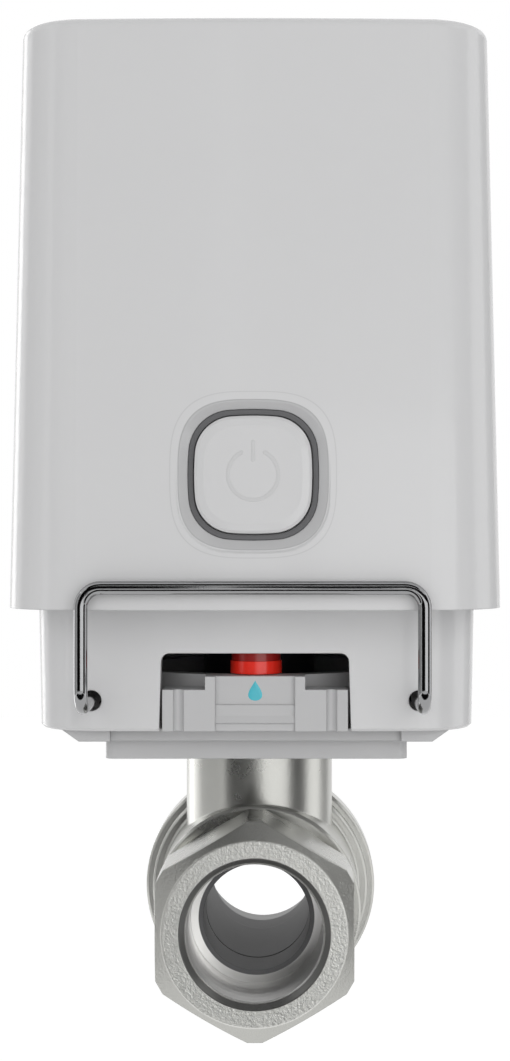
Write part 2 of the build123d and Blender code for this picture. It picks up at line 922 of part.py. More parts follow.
def make_light_ring():
    front = cover_front(button_z) + bezel_depth + ring_lip
    outer = bezel_throat_size - 2 * ring_light_gap
    back = ring_back() + ring_light_gap
    body = button_block([(front, outer), (back + ring_flange, outer)])
    flange = button_block([(back, ring_flange_size), (back + ring_flange, ring_flange_size)])
    tail = back + ring_flange + overrun
    bore = button_block([(front - overrun, ring_light_bore), (tail, ring_light_bore)])
    return body + flange - bore


def cap_flange_y():
    return ring_back() + ring_light_gap + ring_flange + ring_tail


def plunger_tip_y():
    return board_front_y - tact_depth - button_travel - press_spare


def make_function_button():
    front = cover_front(button_z) - cap_proud
    flange = cap_flange_y()
    cap = button_block([
        (front, cap_bevel_size),
        (front + cap_bevel / 3, cap_size - cap_bevel * 2),
        (front + cap_bevel, cap_size),
        (flange + cap_flange, cap_size),
    ])
    back = button_block([(flange, cap_flange_size), (flange + cap_flange, cap_flange_size)])
    plunger = rod_y(plunger_radius, (flange, plunger_tip_y()), 0, button_z)
    return cap + back + plunger


def make_button_retainer():
    """The plate behind the button, with a hole for its plunger and four posts."""
    start = cap_flange_y() + cap_flange + retainer_gap
    plate = extrude(
        Plane.XZ * RectangleRounded(retainer_size, retainer_size, retainer_corner),
        amount=-retainer_plate)
    retainer = Pos(0, start, button_z) * plate
    retainer -= rod_y(plunger_radius + loose_gap, (start - overrun, start + 2 * retainer_plate), 0, button_z)
    for x in (-1, 1):
        for z in (-1, 1):
            place = retainer_size / 2 - retainer_corner / 2
            post_z = button_z + z * place
            wall = cover_front(post_z + retainer_post_radius) + cover_wall + sliding_gap
            post_y = (wall, start + retainer_plate / 2)
            retainer += rod_y(retainer_post_radius, post_y, x * place, post_z)
    return retainer


# Wire lock

def make_wire_lock():
    top_z = cover_z + wire_top_rise
    half = wire_half_spread
    tail = wire_front_y + wire_length
    points = [
        (-half, tail, wire_foot_z),
        (-half, wire_front_y, wire_foot_z),
        (-half, wire_front_y, top_z),
        (half, wire_front_y, top_z),
        (half, wire_front_y, wire_foot_z),
        (half, tail, wire_foot_z),
    ]
    path = FilletPolyline(*points, radius=wire_bend)
    start = Plane(origin=points[0], z_dir=(0, -1, 0))
    return sweep(start * Circle(wire_radius), path=path)


# Drive shaft

def coupling_z():
    return nut_z + nut_height + coupling_gap / 2


def make_output_shaft():
    low = coupling_z()
    top = lid_z + lid_thickness / 2
    shaft = turned_z([
        (0, low),
        (coupling_radius, low),
        (coupling_radius, deck_z - loose_gap),
        (shaft_radius, deck_z - loose_gap),
        (shaft_radius, output_gear_z),
        (key_radius, output_gear_z),
        (key_radius, output_gear_z + output_face + gear_space / 2 + cam_thickness),
        (journal_radius, output_gear_z + output_face + gear_space / 2 + cam_thickness),
        (journal_radius, top),
        (0, top),
    ])
    half = stem_square / 2 + sliding_gap
    socket = box((-half, half), (stem_y - half, stem_y + half), (low - overrun, stem_top_z + sliding_gap))
    relief = rod_z(stem_radius + sliding_gap, (low - overrun, stem_top_z - stem_square_height + sliding_gap))
    key = output_gear_z + output_face + gear_space / 2 + cam_thickness
    key_y = (stem_y - shaft_radius, stem_y + shaft_radius)
    flat = box((key_flat, key_radius + overrun), key_y, (output_gear_z, key))
    return shaft - socket - relief - flat


def keyed_hole(z_range, gap):
    """The shaft's keyed section with one flat, widened by a gap."""
    hole = rod_z(key_radius + gap, z_range)
    side = key_radius + overrun
    return hole - box((key_flat + gap, side), (stem_y - side, stem_y + side), z_range)


def make_output_gear():
    gear = wheel(output_module, output_teeth, output_face, output_gear_z, output_place, second_gear_bearing)
    gear -= gear_recess(output_module, output_teeth, output_face, output_gear_z, output_place,
                        output_face * gear_web_share)
    return gear - keyed_hole((output_gear_z - overrun, output_gear_z + output_face + overrun), seat_gap)


def make_position_cam():
    """A disc with one notch that the end switches feel."""
    low = output_gear_z + output_face + gear_space / 2
    high = low + cam_thickness
    cam = rod_z(cam_radius, (low, high))
    sector = Pos(0, stem_y, low - overrun) * Rot(0, 0, -90 - cam_notch_angle / 2) * extrude(
        make_face(Polyline([
            (0, 0),
            (2 * cam_radius, 0),
            (2 * cam_radius, 2 * cam_radius * tan(radians(cam_notch_angle) / 2)),
            polar(radians(cam_notch_angle), 2 * cam_radius),
        ], close=True)), amount=cam_thickness + 2 * overrun)
    cam -= sector - rod_z(cam_notch_radius, (low - 2 * overrun, high + 2 * overrun))
    return cam - keyed_hole((low - overrun, high + overrun), seat_gap)


def make_indicator_disc():
    low = indicator_z
    disc = rod_z(indicator_radius, (low, low + indicator_thickness))
    disc -= rod_z(coupling_radius + seat_gap, (low - overrun, low + indicator_thickness + overrun))
    hole_z = (low - overrun, low + indicator_thickness + overrun)
    return disc - rod_z(marker_peg_radius + seat_gap, hole_z, 0, marker_y)


def make_indicator_marker():
    rim_top = marker_z + marker_rim
    return turned_z([
        (0, marker_z),
        (marker_radius, marker_z),
        (marker_radius, rim_top),
        (marker_upper_radius, rim_top),
        (marker_upper_radius, indicator_z),
        (marker_peg_radius, indicator_z),
        (marker_peg_radius, indicator_z + indicator_thickness),
        (0, indicator_z + indicator_thickness),
    ], 0, marker_y)


# Gear train

def make_second_gear():
    """The large wheel that the first gear drives, with the pinion of the output gear."""
    big_z = second_gear_z
    gear = wheel(second_module, second_teeth, second_face, big_z, second_place, first_gear_bearing)
    low = output_gear_z
    gear += pinion(output_module, big_z - low, low, second_place, second_gear_bearing)
    bore_z = (low - overrun, big_z + second_face + overrun)
    return gear - rod_z(axle_radius + running_gap, bore_z, *second_place)


def make_first_gear():
    big_z = first_gear_z
    gear = wheel(first_module, first_teeth, first_face, big_z, first_place, motor_bearing)
    gear += pinion(second_module, big_z - second_gear_z, second_gear_z, first_place, first_gear_bearing)
    bore_z = (second_gear_z - overrun, big_z + first_face + overrun)
    return gear - rod_z(axle_radius + running_gap, bore_z, *first_place)


def make_motor_pinion():
    """The pinion on the motor's own shaft."""
    gear = pinion(first_module, first_face, first_gear_z, motor_place, motor_bearing)
    shaft_top = lid_top_z + motor_boss
    return gear + rod_z(motor_shaft_radius, (first_gear_z, shaft_top), *motor_place)


def make_gear_axles():
    low = case_floor_z + case_floor / 2
    high = lid_z + lid_thickness / 2
    axles = []
    for place, foot in ((second_place, output_gear_z), (first_place, second_gear_z)):
        axle = rod_z(axle_radius, (low, high), *place)
        collar_top = foot - sliding_gap
        axle += rod_z(axle_radius + axle_collar, (case_floor_z + case_floor, collar_top), *place)
        axles.append(axle)
    return axles


# Gearbox case

def case_block(z_range, inset=0):
    """The plan of the gearbox with its flat front, as a block."""
    block = plan_stack([(z, inset) for z in z_range], case_plan, stem_y)
    front = case_front_y + inset
    side = case_half_width + overrun
    return block & box((-side, side), (front, stem_y + case_half_depth + overrun), z_range)


def make_gear_case():
    case = case_block((case_floor_z, lid_z))
    case -= case_block((case_floor_z + case_floor, lid_z + overrun), case_wall)
    for x, y in case_screw_places:
        boss = rod_z(case_boss_radius, (case_floor_z, lid_z), x, stem_y + y)
        case += boss & case_block((case_floor_z, lid_z))
        screw_top = deck_z + case_screw_length + sliding_gap
        for hole_z in ((case_floor_z - overrun, screw_top), (lid_z - case_screw_length / 3, lid_z + overrun)):
            case -= rod_z(case_screw_radius + seat_gap, hole_z, x, stem_y + y)
    for x, z in board_post_places:
        post_z = board_bottom_z() + z
        board_back = board_front_y + board_thickness
        case += rod_y(board_post_radius, (board_back, case_front_y + case_wall / 2), x, post_z)
        hole_y = (board_front_y, board_back + board_screw_bite)
        case -= rod_y(board_screw_radius + seat_gap, hole_y, x, post_z)
    bush_outer = shaft_radius + running_gap + bush_wall
    case -= rod_z(bush_outer + spigot_gap, (case_floor_z - overrun, case_floor_z + case_floor + overrun))
    for place in (second_place, first_place):
        socket_z = (case_floor_z + case_floor / 2 - seat_gap, case_floor_z + 2 * case_floor)
        case -= rod_z(axle_radius + seat_gap, socket_z, *place)
    return case


def make_case_lid():
    lid = case_block((lid_z, lid_top_z))
    through = (lid_z - overrun, lid_top_z + overrun)
    lid -= rod_z(journal_radius + running_gap, (lid_z - overrun, lid_z + lid_thickness / 2 + sliding_gap))
    for place in (second_place, first_place):
        lid -= rod_z(axle_radius + seat_gap, (lid_z - overrun, lid_z + lid_thickness / 2 + seat_gap), *place)
    lid -= rod_z(motor_boss_radius + seat_gap, through, *motor_place)
    for x, y in case_screw_places:
        lid -= rod_z(case_screw_radius + seat_gap, through, x, stem_y + y)
    return lid


def screw_up(x, y, z, length):
    """A screw with its head under z and its shank rising from it."""
    shank = rod_z(case_screw_radius, (z - overrun / 2, z + length), x, y)
    return shank + rod_z(case_screw_head_radius, (z - case_screw_head, z), x, y)


def make_base_screws():
    return [screw_up(x, stem_y + y, deck_z, case_screw_length) for x, y in case_screw_places]


def make_lid_screws():
    screws = []
    for x, y in case_screw_places:
        length = case_screw_length / 3 + lid_thickness - sliding_gap
        shank = rod_z(case_screw_radius, (lid_top_z - length, lid_top_z + overrun / 2), x, stem_y + y)
        head = rod_z(case_screw_head_radius, (lid_top_z, lid_top_z + case_screw_head), x, stem_y + y)
        screws.append(shank + head)
    return screws


def make_end_switches():
    """Two small switches beside the cam, one for each end of the travel."""
    low = output_gear_z + output_face + gear_space / 2
    switches = []
    for bearing in switch_bearings:
        distance = cam_radius + switch_gap + switch_depth / 2
        x, y = polar(bearing, distance, output_place)
        body = Box(switch_depth, switch_width, switch_height)
        middle = low + switch_height / 2
        switches.append(Pos(x, y, middle) * Rot(0, 0, degrees(bearing)) * body)
    return switches


# Motor

def make_drive_motor():
    low = lid_top_z
    can = rod_z(motor_radius, (low, low + motor_length), *motor_place)
    reach = 2 * motor_radius
    flats = box(
        (motor_place[0] - reach, motor_place[0] + reach),
        (motor_place[1] - motor_flat, motor_place[1] + motor_flat),
        (low, low + motor_length))
    can = can & flats
    groove_z = low + motor_length - motor_cap
    groove = rod_z(motor_radius + overrun, (groove_z, groove_z + terminal_thickness), *motor_place)
    groove -= rod_z(motor_radius - terminal_thickness, (groove_z - overrun, groove_z + overrun), *motor_place)
    can -= groove
    can += rod_z(motor_boss_radius, (lid_z + sliding_gap, low), *motor_place)
    for side in (-1, 1):
        x = motor_place[0] + side * terminal_spread
        tag_x = (x - terminal_thickness / 2, x + terminal_thickness / 2)
        tag_y = (motor_place[1] - terminal_width / 2, motor_place[1] + terminal_width / 2)
        can += box(tag_x, tag_y, (low + motor_length - terminal_height, low + motor_length + terminal_height))
    bore = (lid_z - overrun, lid_top_z + motor_boss + sliding_gap)
    return can - rod_z(motor_shaft_radius + running_gap, bore, *motor_place)


# Circuit board

def board_bottom_z():
    return deck_top_z + board_lift


def make_circuit_board():
    low = board_bottom_z()
    board_y = (board_front_y, board_front_y + board_thickness)
    board = box((-board_half_width, board_half_width), board_y, (low, low + board_height))
    for x, z in board_post_places:
        hole_y = (board_front_y - overrun, board_y[1] + overrun)
        board -= rod_y(board_screw_radius + seat_gap, hole_y, x, low + z)
    for x, z, width, height in chip_places:
        chip_x = (x - width / 2, x + width / 2)
        chip_z = (low + z - height / 2, low + z + height / 2)
        board += box(chip_x, (board_front_y - chip_height, board_front_y + board_thickness / 2), chip_z)
    return board


def make_board_switch():
    half = tact_width / 2
    cap_y = board_front_y - tact_depth
    body_front = board_front_y - 2 * tact_depth / 3
    body = box((-half, half), (body_front, board_front_y), (button_z - half, button_z + half))
    return body + rod_y(tact_cap_radius, (cap_y, board_front_y - tact_depth / 3), 0, button_z)


def make_board_screws():
    screws = []
    for x, z in board_post_places:
        place_z = board_bottom_z() + z
        tip = board_front_y + board_thickness + board_screw_bite - sliding_gap
        shank_y = (board_front_y - board_screw_head / 2, tip)
        shank = rod_y(board_screw_radius, shank_y, x, place_z)
        head = rod_y(board_screw_head_radius, (board_front_y - board_screw_head, board_front_y), x, place_z)
        screws.append(shank + head)
    return screws


def make_status_lights():
    lights = []
    for x, z in light_places:
        half = light_width / 2
        light_y = (board_front_y - light_depth, board_front_y)
        light_z = (button_z + z - half, button_z + z + half)
        lights.append(box((x - half, x + half), light_y, light_z))
    return lights


def make_board_antenna():
    """A strip aerial that winds along the top of the board."""
    low = board_bottom_z() + antenna_lift
    high = low + antenna_reach
    strip = None
    for step in range(antenna_steps + 1):
        x = antenna_left + step * antenna_pitch / 2
        post = antenna_run(x, x + antenna_width, low, high)
        strip = post if strip is None else strip + post
        if step < antenna_steps:
            level = high if step % 2 == 0 else low + antenna_width
            strip += antenna_run(x, x + antenna_pitch / 2 + antenna_width, level - antenna_width, level)
    return strip


def antenna_run(x_low, x_high, z_low, z_high):
    return box((x_low, x_high), (board_front_y - antenna_thickness, board_front_y), (z_low, z_high))


# Batteries

def cell_places():
    """Centre (y, z) of each cell: two in front, two behind."""
    low = holder_z + holder_floor + cell_lift + cell_radius
    offset = holder_web / 2 + cell_space / 2 + cell_radius
    levels = (low, low + 2 * cell_radius + cell_space)
    return [(stem_y + side * offset, level) for side in (-1, 1) for level in levels]


def make_battery_cells():
    cells = []
    for index, (y, z) in enumerate(cell_places()):
        side = 1 if index % 2 else -1
        half = cell_length / 2
        cell = rod_x(cell_radius, sorted((-side * half, side * (half - cell_nub))), y, z)
        cell += rod_x(cell_nub_radius, sorted((0, side * half)), y, z)
        cells.append(cell)
    return cells


def make_battery_holder():
    end_inner = cell_length / 2 + holder_end_gap
    end_outer = end_inner + holder_end
    top = cell_places()[1][1] + cell_radius - holder_top_gap
    reach = holder_web / 2 + cell_space + 2 * cell_radius
    depth = (stem_y - reach, stem_y + reach)
    holder = box((-end_outer, end_outer), depth, (holder_z, holder_z + holder_floor))
    for side in (-1, 1):
        holder += box(sorted((side * end_inner, side * end_outer)), depth, (holder_z, top))
        cradle_x = (side * cradle_offset - cradle_width / 2, side * cradle_offset + cradle_width / 2)
        holder += box(cradle_x, depth, (holder_z, top - cell_radius))
    web_y = (stem_y - holder_web / 2, stem_y + holder_web / 2)
    holder += box((-end_outer, end_outer), web_y, (holder_z, top))
    for y, z in cell_places():
        holder -= rod_x(cell_radius + sliding_gap, (-end_inner, end_inner), y, z)
    for x, y in holder_leg_places:
        half = holder_leg / 2
        leg_x = (x - half, x + half)
        leg_y = (stem_y + y - half, stem_y + y + half)
        holder += box(leg_x, leg_y, (lid_top_z, holder_z + holder_floor))
        arm_y = sorted((stem_y, stem_y + y))
        holder += box(leg_x, arm_y, (holder_z, holder_z + holder_floor))
    return holder


def make_contact_leaves():
    """A bowed strip that presses on the flat end of each cell."""
    leaves = []
    for index, (y, z) in enumerate(cell_places()):
        side = -1 if index % 2 else 1
        wall = cell_length / 2 + holder_end_gap
        half = contact_height / 2
        bow = ThreePointArc((wall, -half), (wall - contact_bow, 0), (wall, half))
        inner = ThreePointArc(
            (wall, -half + contact_thickness),
            (wall - contact_bow + contact_thickness, 0),
            (wall, half - contact_thickness))
        ends = [Line(bow @ 0, inner @ 0), Line(bow @ 1, inner @ 1)]
        face = make_face(Plane.XZ * Curve([bow, inner] + ends))
        strip = Pos(0, y, z) * extrude(face, amount=contact_width / 2, both=True)
        leaves.append(strip if side > 0 else mirror(strip, Plane.YZ))
    return leaves


def make_contact_pads():
    """A flat plate that meets the nub of each cell."""
    pads = []
    for index, (y, z) in enumerate(cell_places()):
        side = 1 if index % 2 else -1
        wall = side * (cell_length / 2 + holder_end_gap)
        near = side * (cell_length / 2 + running_gap)
        pad_y = (y - contact_width / 2, y + contact_width / 2)
        plate = box(sorted((wall, wall - side * contact_thickness)), pad_y,
                    (z - contact_height / 2, z + contact_height / 2))
        pads.append(plate + rod_x(cell_nub_radius, sorted((wall, near)), y, z))
    return pads


# Seals

def make_cover_seal():
    """A rubber cord round the rim of the lower housing."""
    inside = deck_inset() + rim_inset
    z_range = (deck_top_z, deck_top_z + cover_seal_height)
    ring = plan_stack([(z, inside - cover_seal_width) for z in z_range], cover_plan, stem_y)
    through = (z_range[0] - overrun, z_range[1] + overrun)
    return ring - plan_stack([(z, inside) for z in through], cover_plan, stem_y)


def make_neck_seal():
    """A flat ring between the nut and the drive shaft's socket."""
    low = nut_z + nut_height
    inner = stem_radius + sliding_gap
    ring = rod_z(inner + base_seal_width, (neck_top_z, neck_top_z + base_seal_height))
    return ring - rod_z(inner, (neck_top_z - overrun, low + overrun))


PIECES = {
    "valve_body": make_valve_body,
    "end_connector": make_end_connector,
    "front_seat": lambda: make_seat(front_seat_y, 1),
    "rear_seat": lambda: make_seat(rear_seat_y, -1),
    "ball": make_ball,
    "stem": make_stem,
    "stem_rings": make_stem_rings,
    "stem_washer": make_stem_washer,
    "connector_seal": make_connector_seal,
    "neck_nut": make_neck_nut,
    "neck_seal": make_neck_seal,
    "valve_bracket": make_valve_bracket,
    "base_housing": make_base_housing,
    "cover_seal": make_cover_seal,
    "output_bush": make_output_bush,
    "outer_cover": make_outer_cover,
    "light_ring": make_light_ring,
    "function_button": make_function_button,
    "button_retainer": make_button_retainer,
    "wire_lock": make_wire_lock,
    "output_shaft": make_output_shaft,
    "output_gear": make_output_gear,
    "position_cam": make_position_cam,
    "indicator_disc": make_indicator_disc,
    "indicator_marker": make_indicator_marker,
    "second_gear": make_second_gear,
    "first_gear": make_first_gear,
    "motor_pinion": make_motor_pinion,
    "gear_axles": make_gear_axles,
    "gear_case": make_gear_case,
    "case_lid": make_case_lid,
    "base_screws": make_base_screws,
    "lid_screws": make_lid_screws,
    "end_switches": make_end_switches,
    "drive_motor": make_drive_motor,
    "circuit_board": make_circuit_board,
    "board_switch": make_board_switch,
    "board_screws": make_board_screws,
    "status_lights": make_status_lights,
    "board_antenna": make_board_antenna,
    "battery_cells": make_battery_cells,
    "battery_holder": make_battery_holder,
    "contact_leaves": make_contact_leaves,
    "contact_pads": make_contact_pads,
}


def main():
    os.makedirs("parts", exist_ok=True)
    for name, make in PIECES.items():
        made = make()
        solids = made if isinstance(made, list) else [made]
        children = [solid for piece in solids for solid in piece.solids()]
        shape = children[0] if len(children) == 1 else Compound(children=children)
        shape.label = name
        export_step(shape, f"parts/{name}.step")
        print(name, len(children), [round(v, 2) for v in shape.bounding_box().min],
              [round(v, 2) for v in shape.bounding_box().max])


main()
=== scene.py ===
"""Looks of a motor-driven half-inch ball valve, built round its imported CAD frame.

The frame's Y runs along the pipe, -Y faces the viewer and +Z is up. All
lengths are metres. Each sub-assembly is a class with its own sizes: `dress`
gives its CAD nodes their finishes and `build` adds the surfaces that only
matter to the eye.
"""

import logging
import math
from dataclasses import dataclass, field
from enum import Enum

import bpy
import numpy as np
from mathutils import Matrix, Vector


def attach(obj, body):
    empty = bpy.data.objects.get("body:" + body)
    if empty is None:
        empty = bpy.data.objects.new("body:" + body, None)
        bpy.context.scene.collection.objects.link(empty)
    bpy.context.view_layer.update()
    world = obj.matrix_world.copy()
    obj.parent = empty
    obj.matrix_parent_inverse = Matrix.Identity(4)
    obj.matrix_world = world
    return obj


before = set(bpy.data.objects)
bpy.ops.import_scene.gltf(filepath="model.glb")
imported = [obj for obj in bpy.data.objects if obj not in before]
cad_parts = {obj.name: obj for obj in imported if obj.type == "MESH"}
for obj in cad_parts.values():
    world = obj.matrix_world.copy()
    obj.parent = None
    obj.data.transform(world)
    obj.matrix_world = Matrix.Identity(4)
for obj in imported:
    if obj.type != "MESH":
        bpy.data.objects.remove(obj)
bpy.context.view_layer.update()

LOG = logging.getLogger("looks")
MM = 0.001
STEM_Y = 26.6 * MM
BUTTON_Z = 61.8 * MM
COVER_FRONT_Y = 2.0 * MM  # the front wall of the cover lies before this
BUTTON_ORDER = 3.1  # 2 is a circle, and more is squarer
BAND_FADE = 0.08 * MM
BROAD_SCALE, CLOSE_SCALE = 70.0, 420.0  # the two noises of the slow wander
CLOSE_SHARE = 0.4
GRAIN_SCALE = 0.6  # the rounded grains of a casting, against the pits between them
GRAIN_SHARE = 0.35
DRAWN_SCALE = 0.05  # noise of drawn lines is this much slower along the height
COAT_ROUGHNESS = 0.08
BEVEL_SAMPLES = 4
VECTOR, NUMBER = "NodeSocketVector", "NodeSocketFloat"
MIX_NUMBERS, MIX_COLOURS = (2, 0), (6, 2)  # first value socket and result socket of a Mix node

Colour = tuple[float, float, float]
Place = tuple[float, float, float]


class Relief(Enum):
    """How the small relief of a surface is laid out."""

    MOULDED = "moulded"
    CAST = "cast"
    LATHE_PIPE = "lathe marks round the pipe axis"
    LATHE_STEM = "lathe marks round the stem axis"
    DRAWN = "drawn lines along the height"


class Along(Enum):
    """A coordinate that a band of another finish follows. The value of Y and Z is the axis."""

    Y = 1
    Z = 2
    PIPE_RADIUS = 3
    ABS_X = 4
    BUTTON = 5


@dataclass(frozen=True)
class Finish:
    """One surface treatment.

    Attributes:
        name: Name of the Blender material.
        colour: Linear base colour.
        roughness: Mean microfacet roughness.
        metallic: 1 for bare or plated metal.
        relief: Layout of the small relief.
        grain: Size of the relief's grains.
        height: Height of the relief.
        shade: Share by which the colour wanders over the piece.
        smudge: Amount by which the roughness wanders over the piece.
        edge: Radius that light sees on every sharp edge.
        coat: Weight of a clear coat.
        transmission: Share of light that passes through.
        ior: Index of refraction.
    """

    name: str
    colour: Colour
    roughness: float
    metallic: float = 0.0
    relief: Relief = Relief.MOULDED
    grain: float = 0.25 * MM
    height: float = 0.004 * MM
    shade: float = 0.03
    smudge: float = 0.05
    edge: float = 0.18 * MM
    coat: float = 0.0
    transmission: float = 0.0
    ior: float = 1.46


@dataclass(frozen=True)
class Band:
    """A stretch of a piece that shows another colour and roughness.

    Attributes:
        along: Coordinate that limits the band.
        low: Lower limit.
        high: Upper limit.
        finish: Finish shown inside the limits.
    """

    along: Along
    low: float
    high: float
    finish: Finish


SHELL = Finish("shell_gloss", (0.62, 0.62, 0.625), 0.24, grain=1.4 * MM, height=0.0025 * MM,
               shade=0.012, smudge=0.04, edge=0.3 * MM, coat=0.25)
CAP = Finish("cap_gloss", (0.60, 0.60, 0.605), 0.22, grain=0.9 * MM, height=0.0015 * MM, shade=0.01,
             smudge=0.03, edge=0.2 * MM, coat=0.3)
# Darker than the cap: painted shade of the engraved lines of the power sign, which are drawn as low
# raised beads.
SIGN_PAINTED_SHADE = Finish("cap_engraving", (0.56, 0.56, 0.565), 0.26, grain=0.2 * MM, edge=0.03 * MM)
BRACKET = Finish("bracket_satin", (0.49, 0.49, 0.495), 0.36, grain=0.35 * MM, height=0.004 * MM,
                 shade=0.02, edge=0.22 * MM)
DROP = Finish("drop_print", (0.07, 0.47, 0.56), 0.28, grain=0.3 * MM, height=0.001 * MM, shade=0.03,
              edge=0.02 * MM, coat=0.4)
SMOKE = Finish("smoked_ring", (0.115, 0.115, 0.12), 0.2, grain=0.5 * MM, height=0.001 * MM,
               edge=0.1 * MM, coat=0.3)
# The three finishes below are the cover's own plastic darkened in bands round the button. They are
# painted shade of the dished slope, of the dip line at its edge and of the line at the rim.
DISH_PAINTED_SHADE = Finish("shell_dish", (0.49, 0.49, 0.495), 0.24, grain=1.4 * MM, height=0.0025 * MM,
              shade=0.012, smudge=0.04)
DISH_LINE_PAINTED_SHADE = Finish("shell_dish_line", (0.38, 0.38, 0.385), 0.3, grain=1.4 * MM, height=0.0025 * MM,
                   shade=0.012)
RIM_LINE_PAINTED_SHADE = Finish("shell_rim_line", (0.50, 0.50, 0.505), 0.3, grain=1.4 * MM, height=0.0025 * MM,
                  shade=0.012)
RED = Finish("marker_red", (0.83, 0.026, 0.013), 0.22, grain=0.5 * MM, height=0.002 * MM,
             edge=0.14 * MM, coat=0.3)
# The marker's red darkened: painted shade on its upper neck, which lies back under the window's top
# edge.
RED_NECK_PAINTED_SHADE = Finish("marker_red_neck", (0.34, 0.012, 0.010), 0.3, grain=0.5 * MM, height=0.002 * MM,
                  coat=0.3)
BLACK = Finish("black_moulded", (0.018, 0.018, 0.02), 0.42, grain=0.2 * MM, height=0.006 * MM,
               shade=0.1)
DISC = Finish("black_disc", (0.085, 0.085, 0.09), 0.46, 0.7, grain=0.3 * MM, height=0.003 * MM,
              edge=0.2 * MM)
NICKEL_CAST = Finish("nickel_cast", (0.51, 0.51, 0.485), 0.28, 1.0, Relief.CAST, 0.3 * MM,
                     0.016 * MM, shade=0.10, smudge=0.12, edge=0.3 * MM)
NICKEL_GRAIN = Finish("nickel_blasted", (0.82, 0.82, 0.785), 0.40, 1.0, Relief.CAST, 0.26 * MM,
                      0.075 * MM, shade=0.12, smudge=0.16, edge=0.3 * MM)
NICKEL_SLOPE = Finish("nickel_forged", (0.52, 0.52, 0.495), 0.36, 1.0, Relief.CAST, 0.26 * MM,
                      0.05 * MM, shade=0.12, smudge=0.16)
NICKEL_BORE = Finish("nickel_bored", (0.86, 0.855, 0.84), 0.34, 1.0, Relief.LATHE_PIPE, 0.12 * MM,
                     0.0015 * MM, shade=0.05, smudge=0.06)
# The nickel darkened far below the bore: painted shade on the chamfer at the mouth of each port.
NICKEL_MOUTH_PAINTED_SHADE = Finish("nickel_chamfer", (0.17, 0.17, 0.165), 0.34, 1.0, Relief.LATHE_PIPE,
                      0.12 * MM, 0.002 * MM, shade=0.05, smudge=0.06)
# The bored nickel darkened: painted shade of the rear bore, which no lamp lights.
NICKEL_REAR_PAINTED_SHADE = Finish("nickel_bored_rear", (0.20, 0.20, 0.198), 0.4, 1.0, Relief.LATHE_PIPE,
                     0.12 * MM, 0.0015 * MM, shade=0.05, smudge=0.06)
# A dark grey with no metal: painted shade deep in the waterway of the ports and of the ball.
PASSAGE_PAINTED_SHADE = Finish("dark_waterway", (0.105, 0.105, 0.108), 0.5, 0.0, Relief.LATHE_PIPE, 0.2 * MM,
                 0.003 * MM, shade=0.05, smudge=0.1)
CHROME = Finish("wire_chrome", (0.30, 0.302, 0.306), 0.08, 1.0, Relief.DRAWN, 0.2 * MM, 0.001 * MM,
                shade=0.03, smudge=0.05, edge=0.1 * MM)
BALL = Finish("ball_chrome", (0.62, 0.62, 0.61), 0.12, 1.0, Relief.LATHE_PIPE, 0.2 * MM,
              0.0008 * MM, shade=0.03, smudge=0.06, edge=0.25 * MM)
SEAT = Finish("filled_seat", (0.075, 0.075, 0.078), 0.5, grain=0.2 * MM, height=0.003 * MM,
              shade=0.04, edge=0.12 * MM)
STEEL = Finish("steel_zinc", (0.55, 0.55, 0.56), 0.32, 1.0, Relief.LATHE_STEM, 0.12 * MM,
               0.003 * MM, shade=0.06, smudge=0.1, edge=0.1 * MM)
GEAR_STEEL = Finish("gear_steel", (0.48, 0.47, 0.46), 0.36, 1.0, Relief.LATHE_STEM, 0.15 * MM,
                    0.004 * MM, shade=0.08, smudge=0.1, edge=0.08 * MM)
BRONZE = Finish("sintered_bronze", (0.50, 0.31, 0.14), 0.42, 1.0, Relief.CAST, 0.1 * MM, 0.006 * MM,
                shade=0.12, smudge=0.1, edge=0.08 * MM)
ACETAL = Finish("natural_acetal", (0.78, 0.75, 0.66), 0.4, grain=0.25 * MM, height=0.003 * MM,
                shade=0.03, edge=0.06 * MM)
FLUOR = Finish("white_fluoropolymer", (0.86, 0.86, 0.83), 0.42, grain=0.2 * MM, height=0.003 * MM,
               shade=0.02, edge=0.12 * MM)
RUBBER = Finish("black_rubber", (0.014, 0.014, 0.014), 0.62, grain=0.12 * MM, height=0.008 * MM,
                shade=0.15, edge=0.15 * MM)
BOARD = Finish("solder_mask", (0.012, 0.13, 0.045), 0.28, grain=0.7 * MM, height=0.002 * MM,
               shade=0.08, edge=0.05 * MM, coat=0.4)
CHIP = Finish("chip_epoxy", (0.02, 0.02, 0.022), 0.5, grain=0.08 * MM, height=0.004 * MM, shade=0.1)
COPPER = Finish("etched_copper", (0.66, 0.33, 0.19), 0.3, 1.0, Relief.CAST, 0.1 * MM, 0.002 * MM,
                shade=0.08, edge=0.03 * MM)
WRAP = Finish("cell_film", (0.045, 0.10, 0.21), 0.2, grain=2.0 * MM, height=0.006 * MM, shade=0.04,
              edge=0.3 * MM, coat=0.5)
CELL_END = Finish("cell_steel", (0.60, 0.60, 0.60), 0.25, 1.0, grain=0.2 * MM, height=0.002 * MM)
LENS = Finish("milky_lens", (0.80, 0.90, 0.84), 0.3, grain=0.3 * MM, height=0.002 * MM,
              edge=0.08 * MM, transmission=0.5)
MOTOR_CAP = Finish("motor_cap", (0.62, 0.60, 0.55), 0.45, grain=0.2 * MM, height=0.004 * MM)


@dataclass(frozen=True)
class Thread:
    """A pipe thread seen inside a port.

    Attributes:
        radius: Radius up to which the thread shows.
        start: Lowest place along the pipe.
        end: Highest place along the pipe.
        pitch: Advance in one turn.
        depth: Height of the ridge that light sees.
        shadow: Share by which the ridge darkens.
        tint: Colour that the ridge darkens to.
        edge_fade: Distance over which it fades at its radius.
        run_out: Distance over which it fades at both ends.
    """

    radius: float
    start: float
    end: float
    pitch: float = 1.814 * MM
    depth: float = 0.012 * MM
    shadow: float = 0.05
    tint: Colour = (0.05, 0.045, 0.04)
    edge_fade: float = 0.05 * MM
    run_out: float = 0.6 * MM


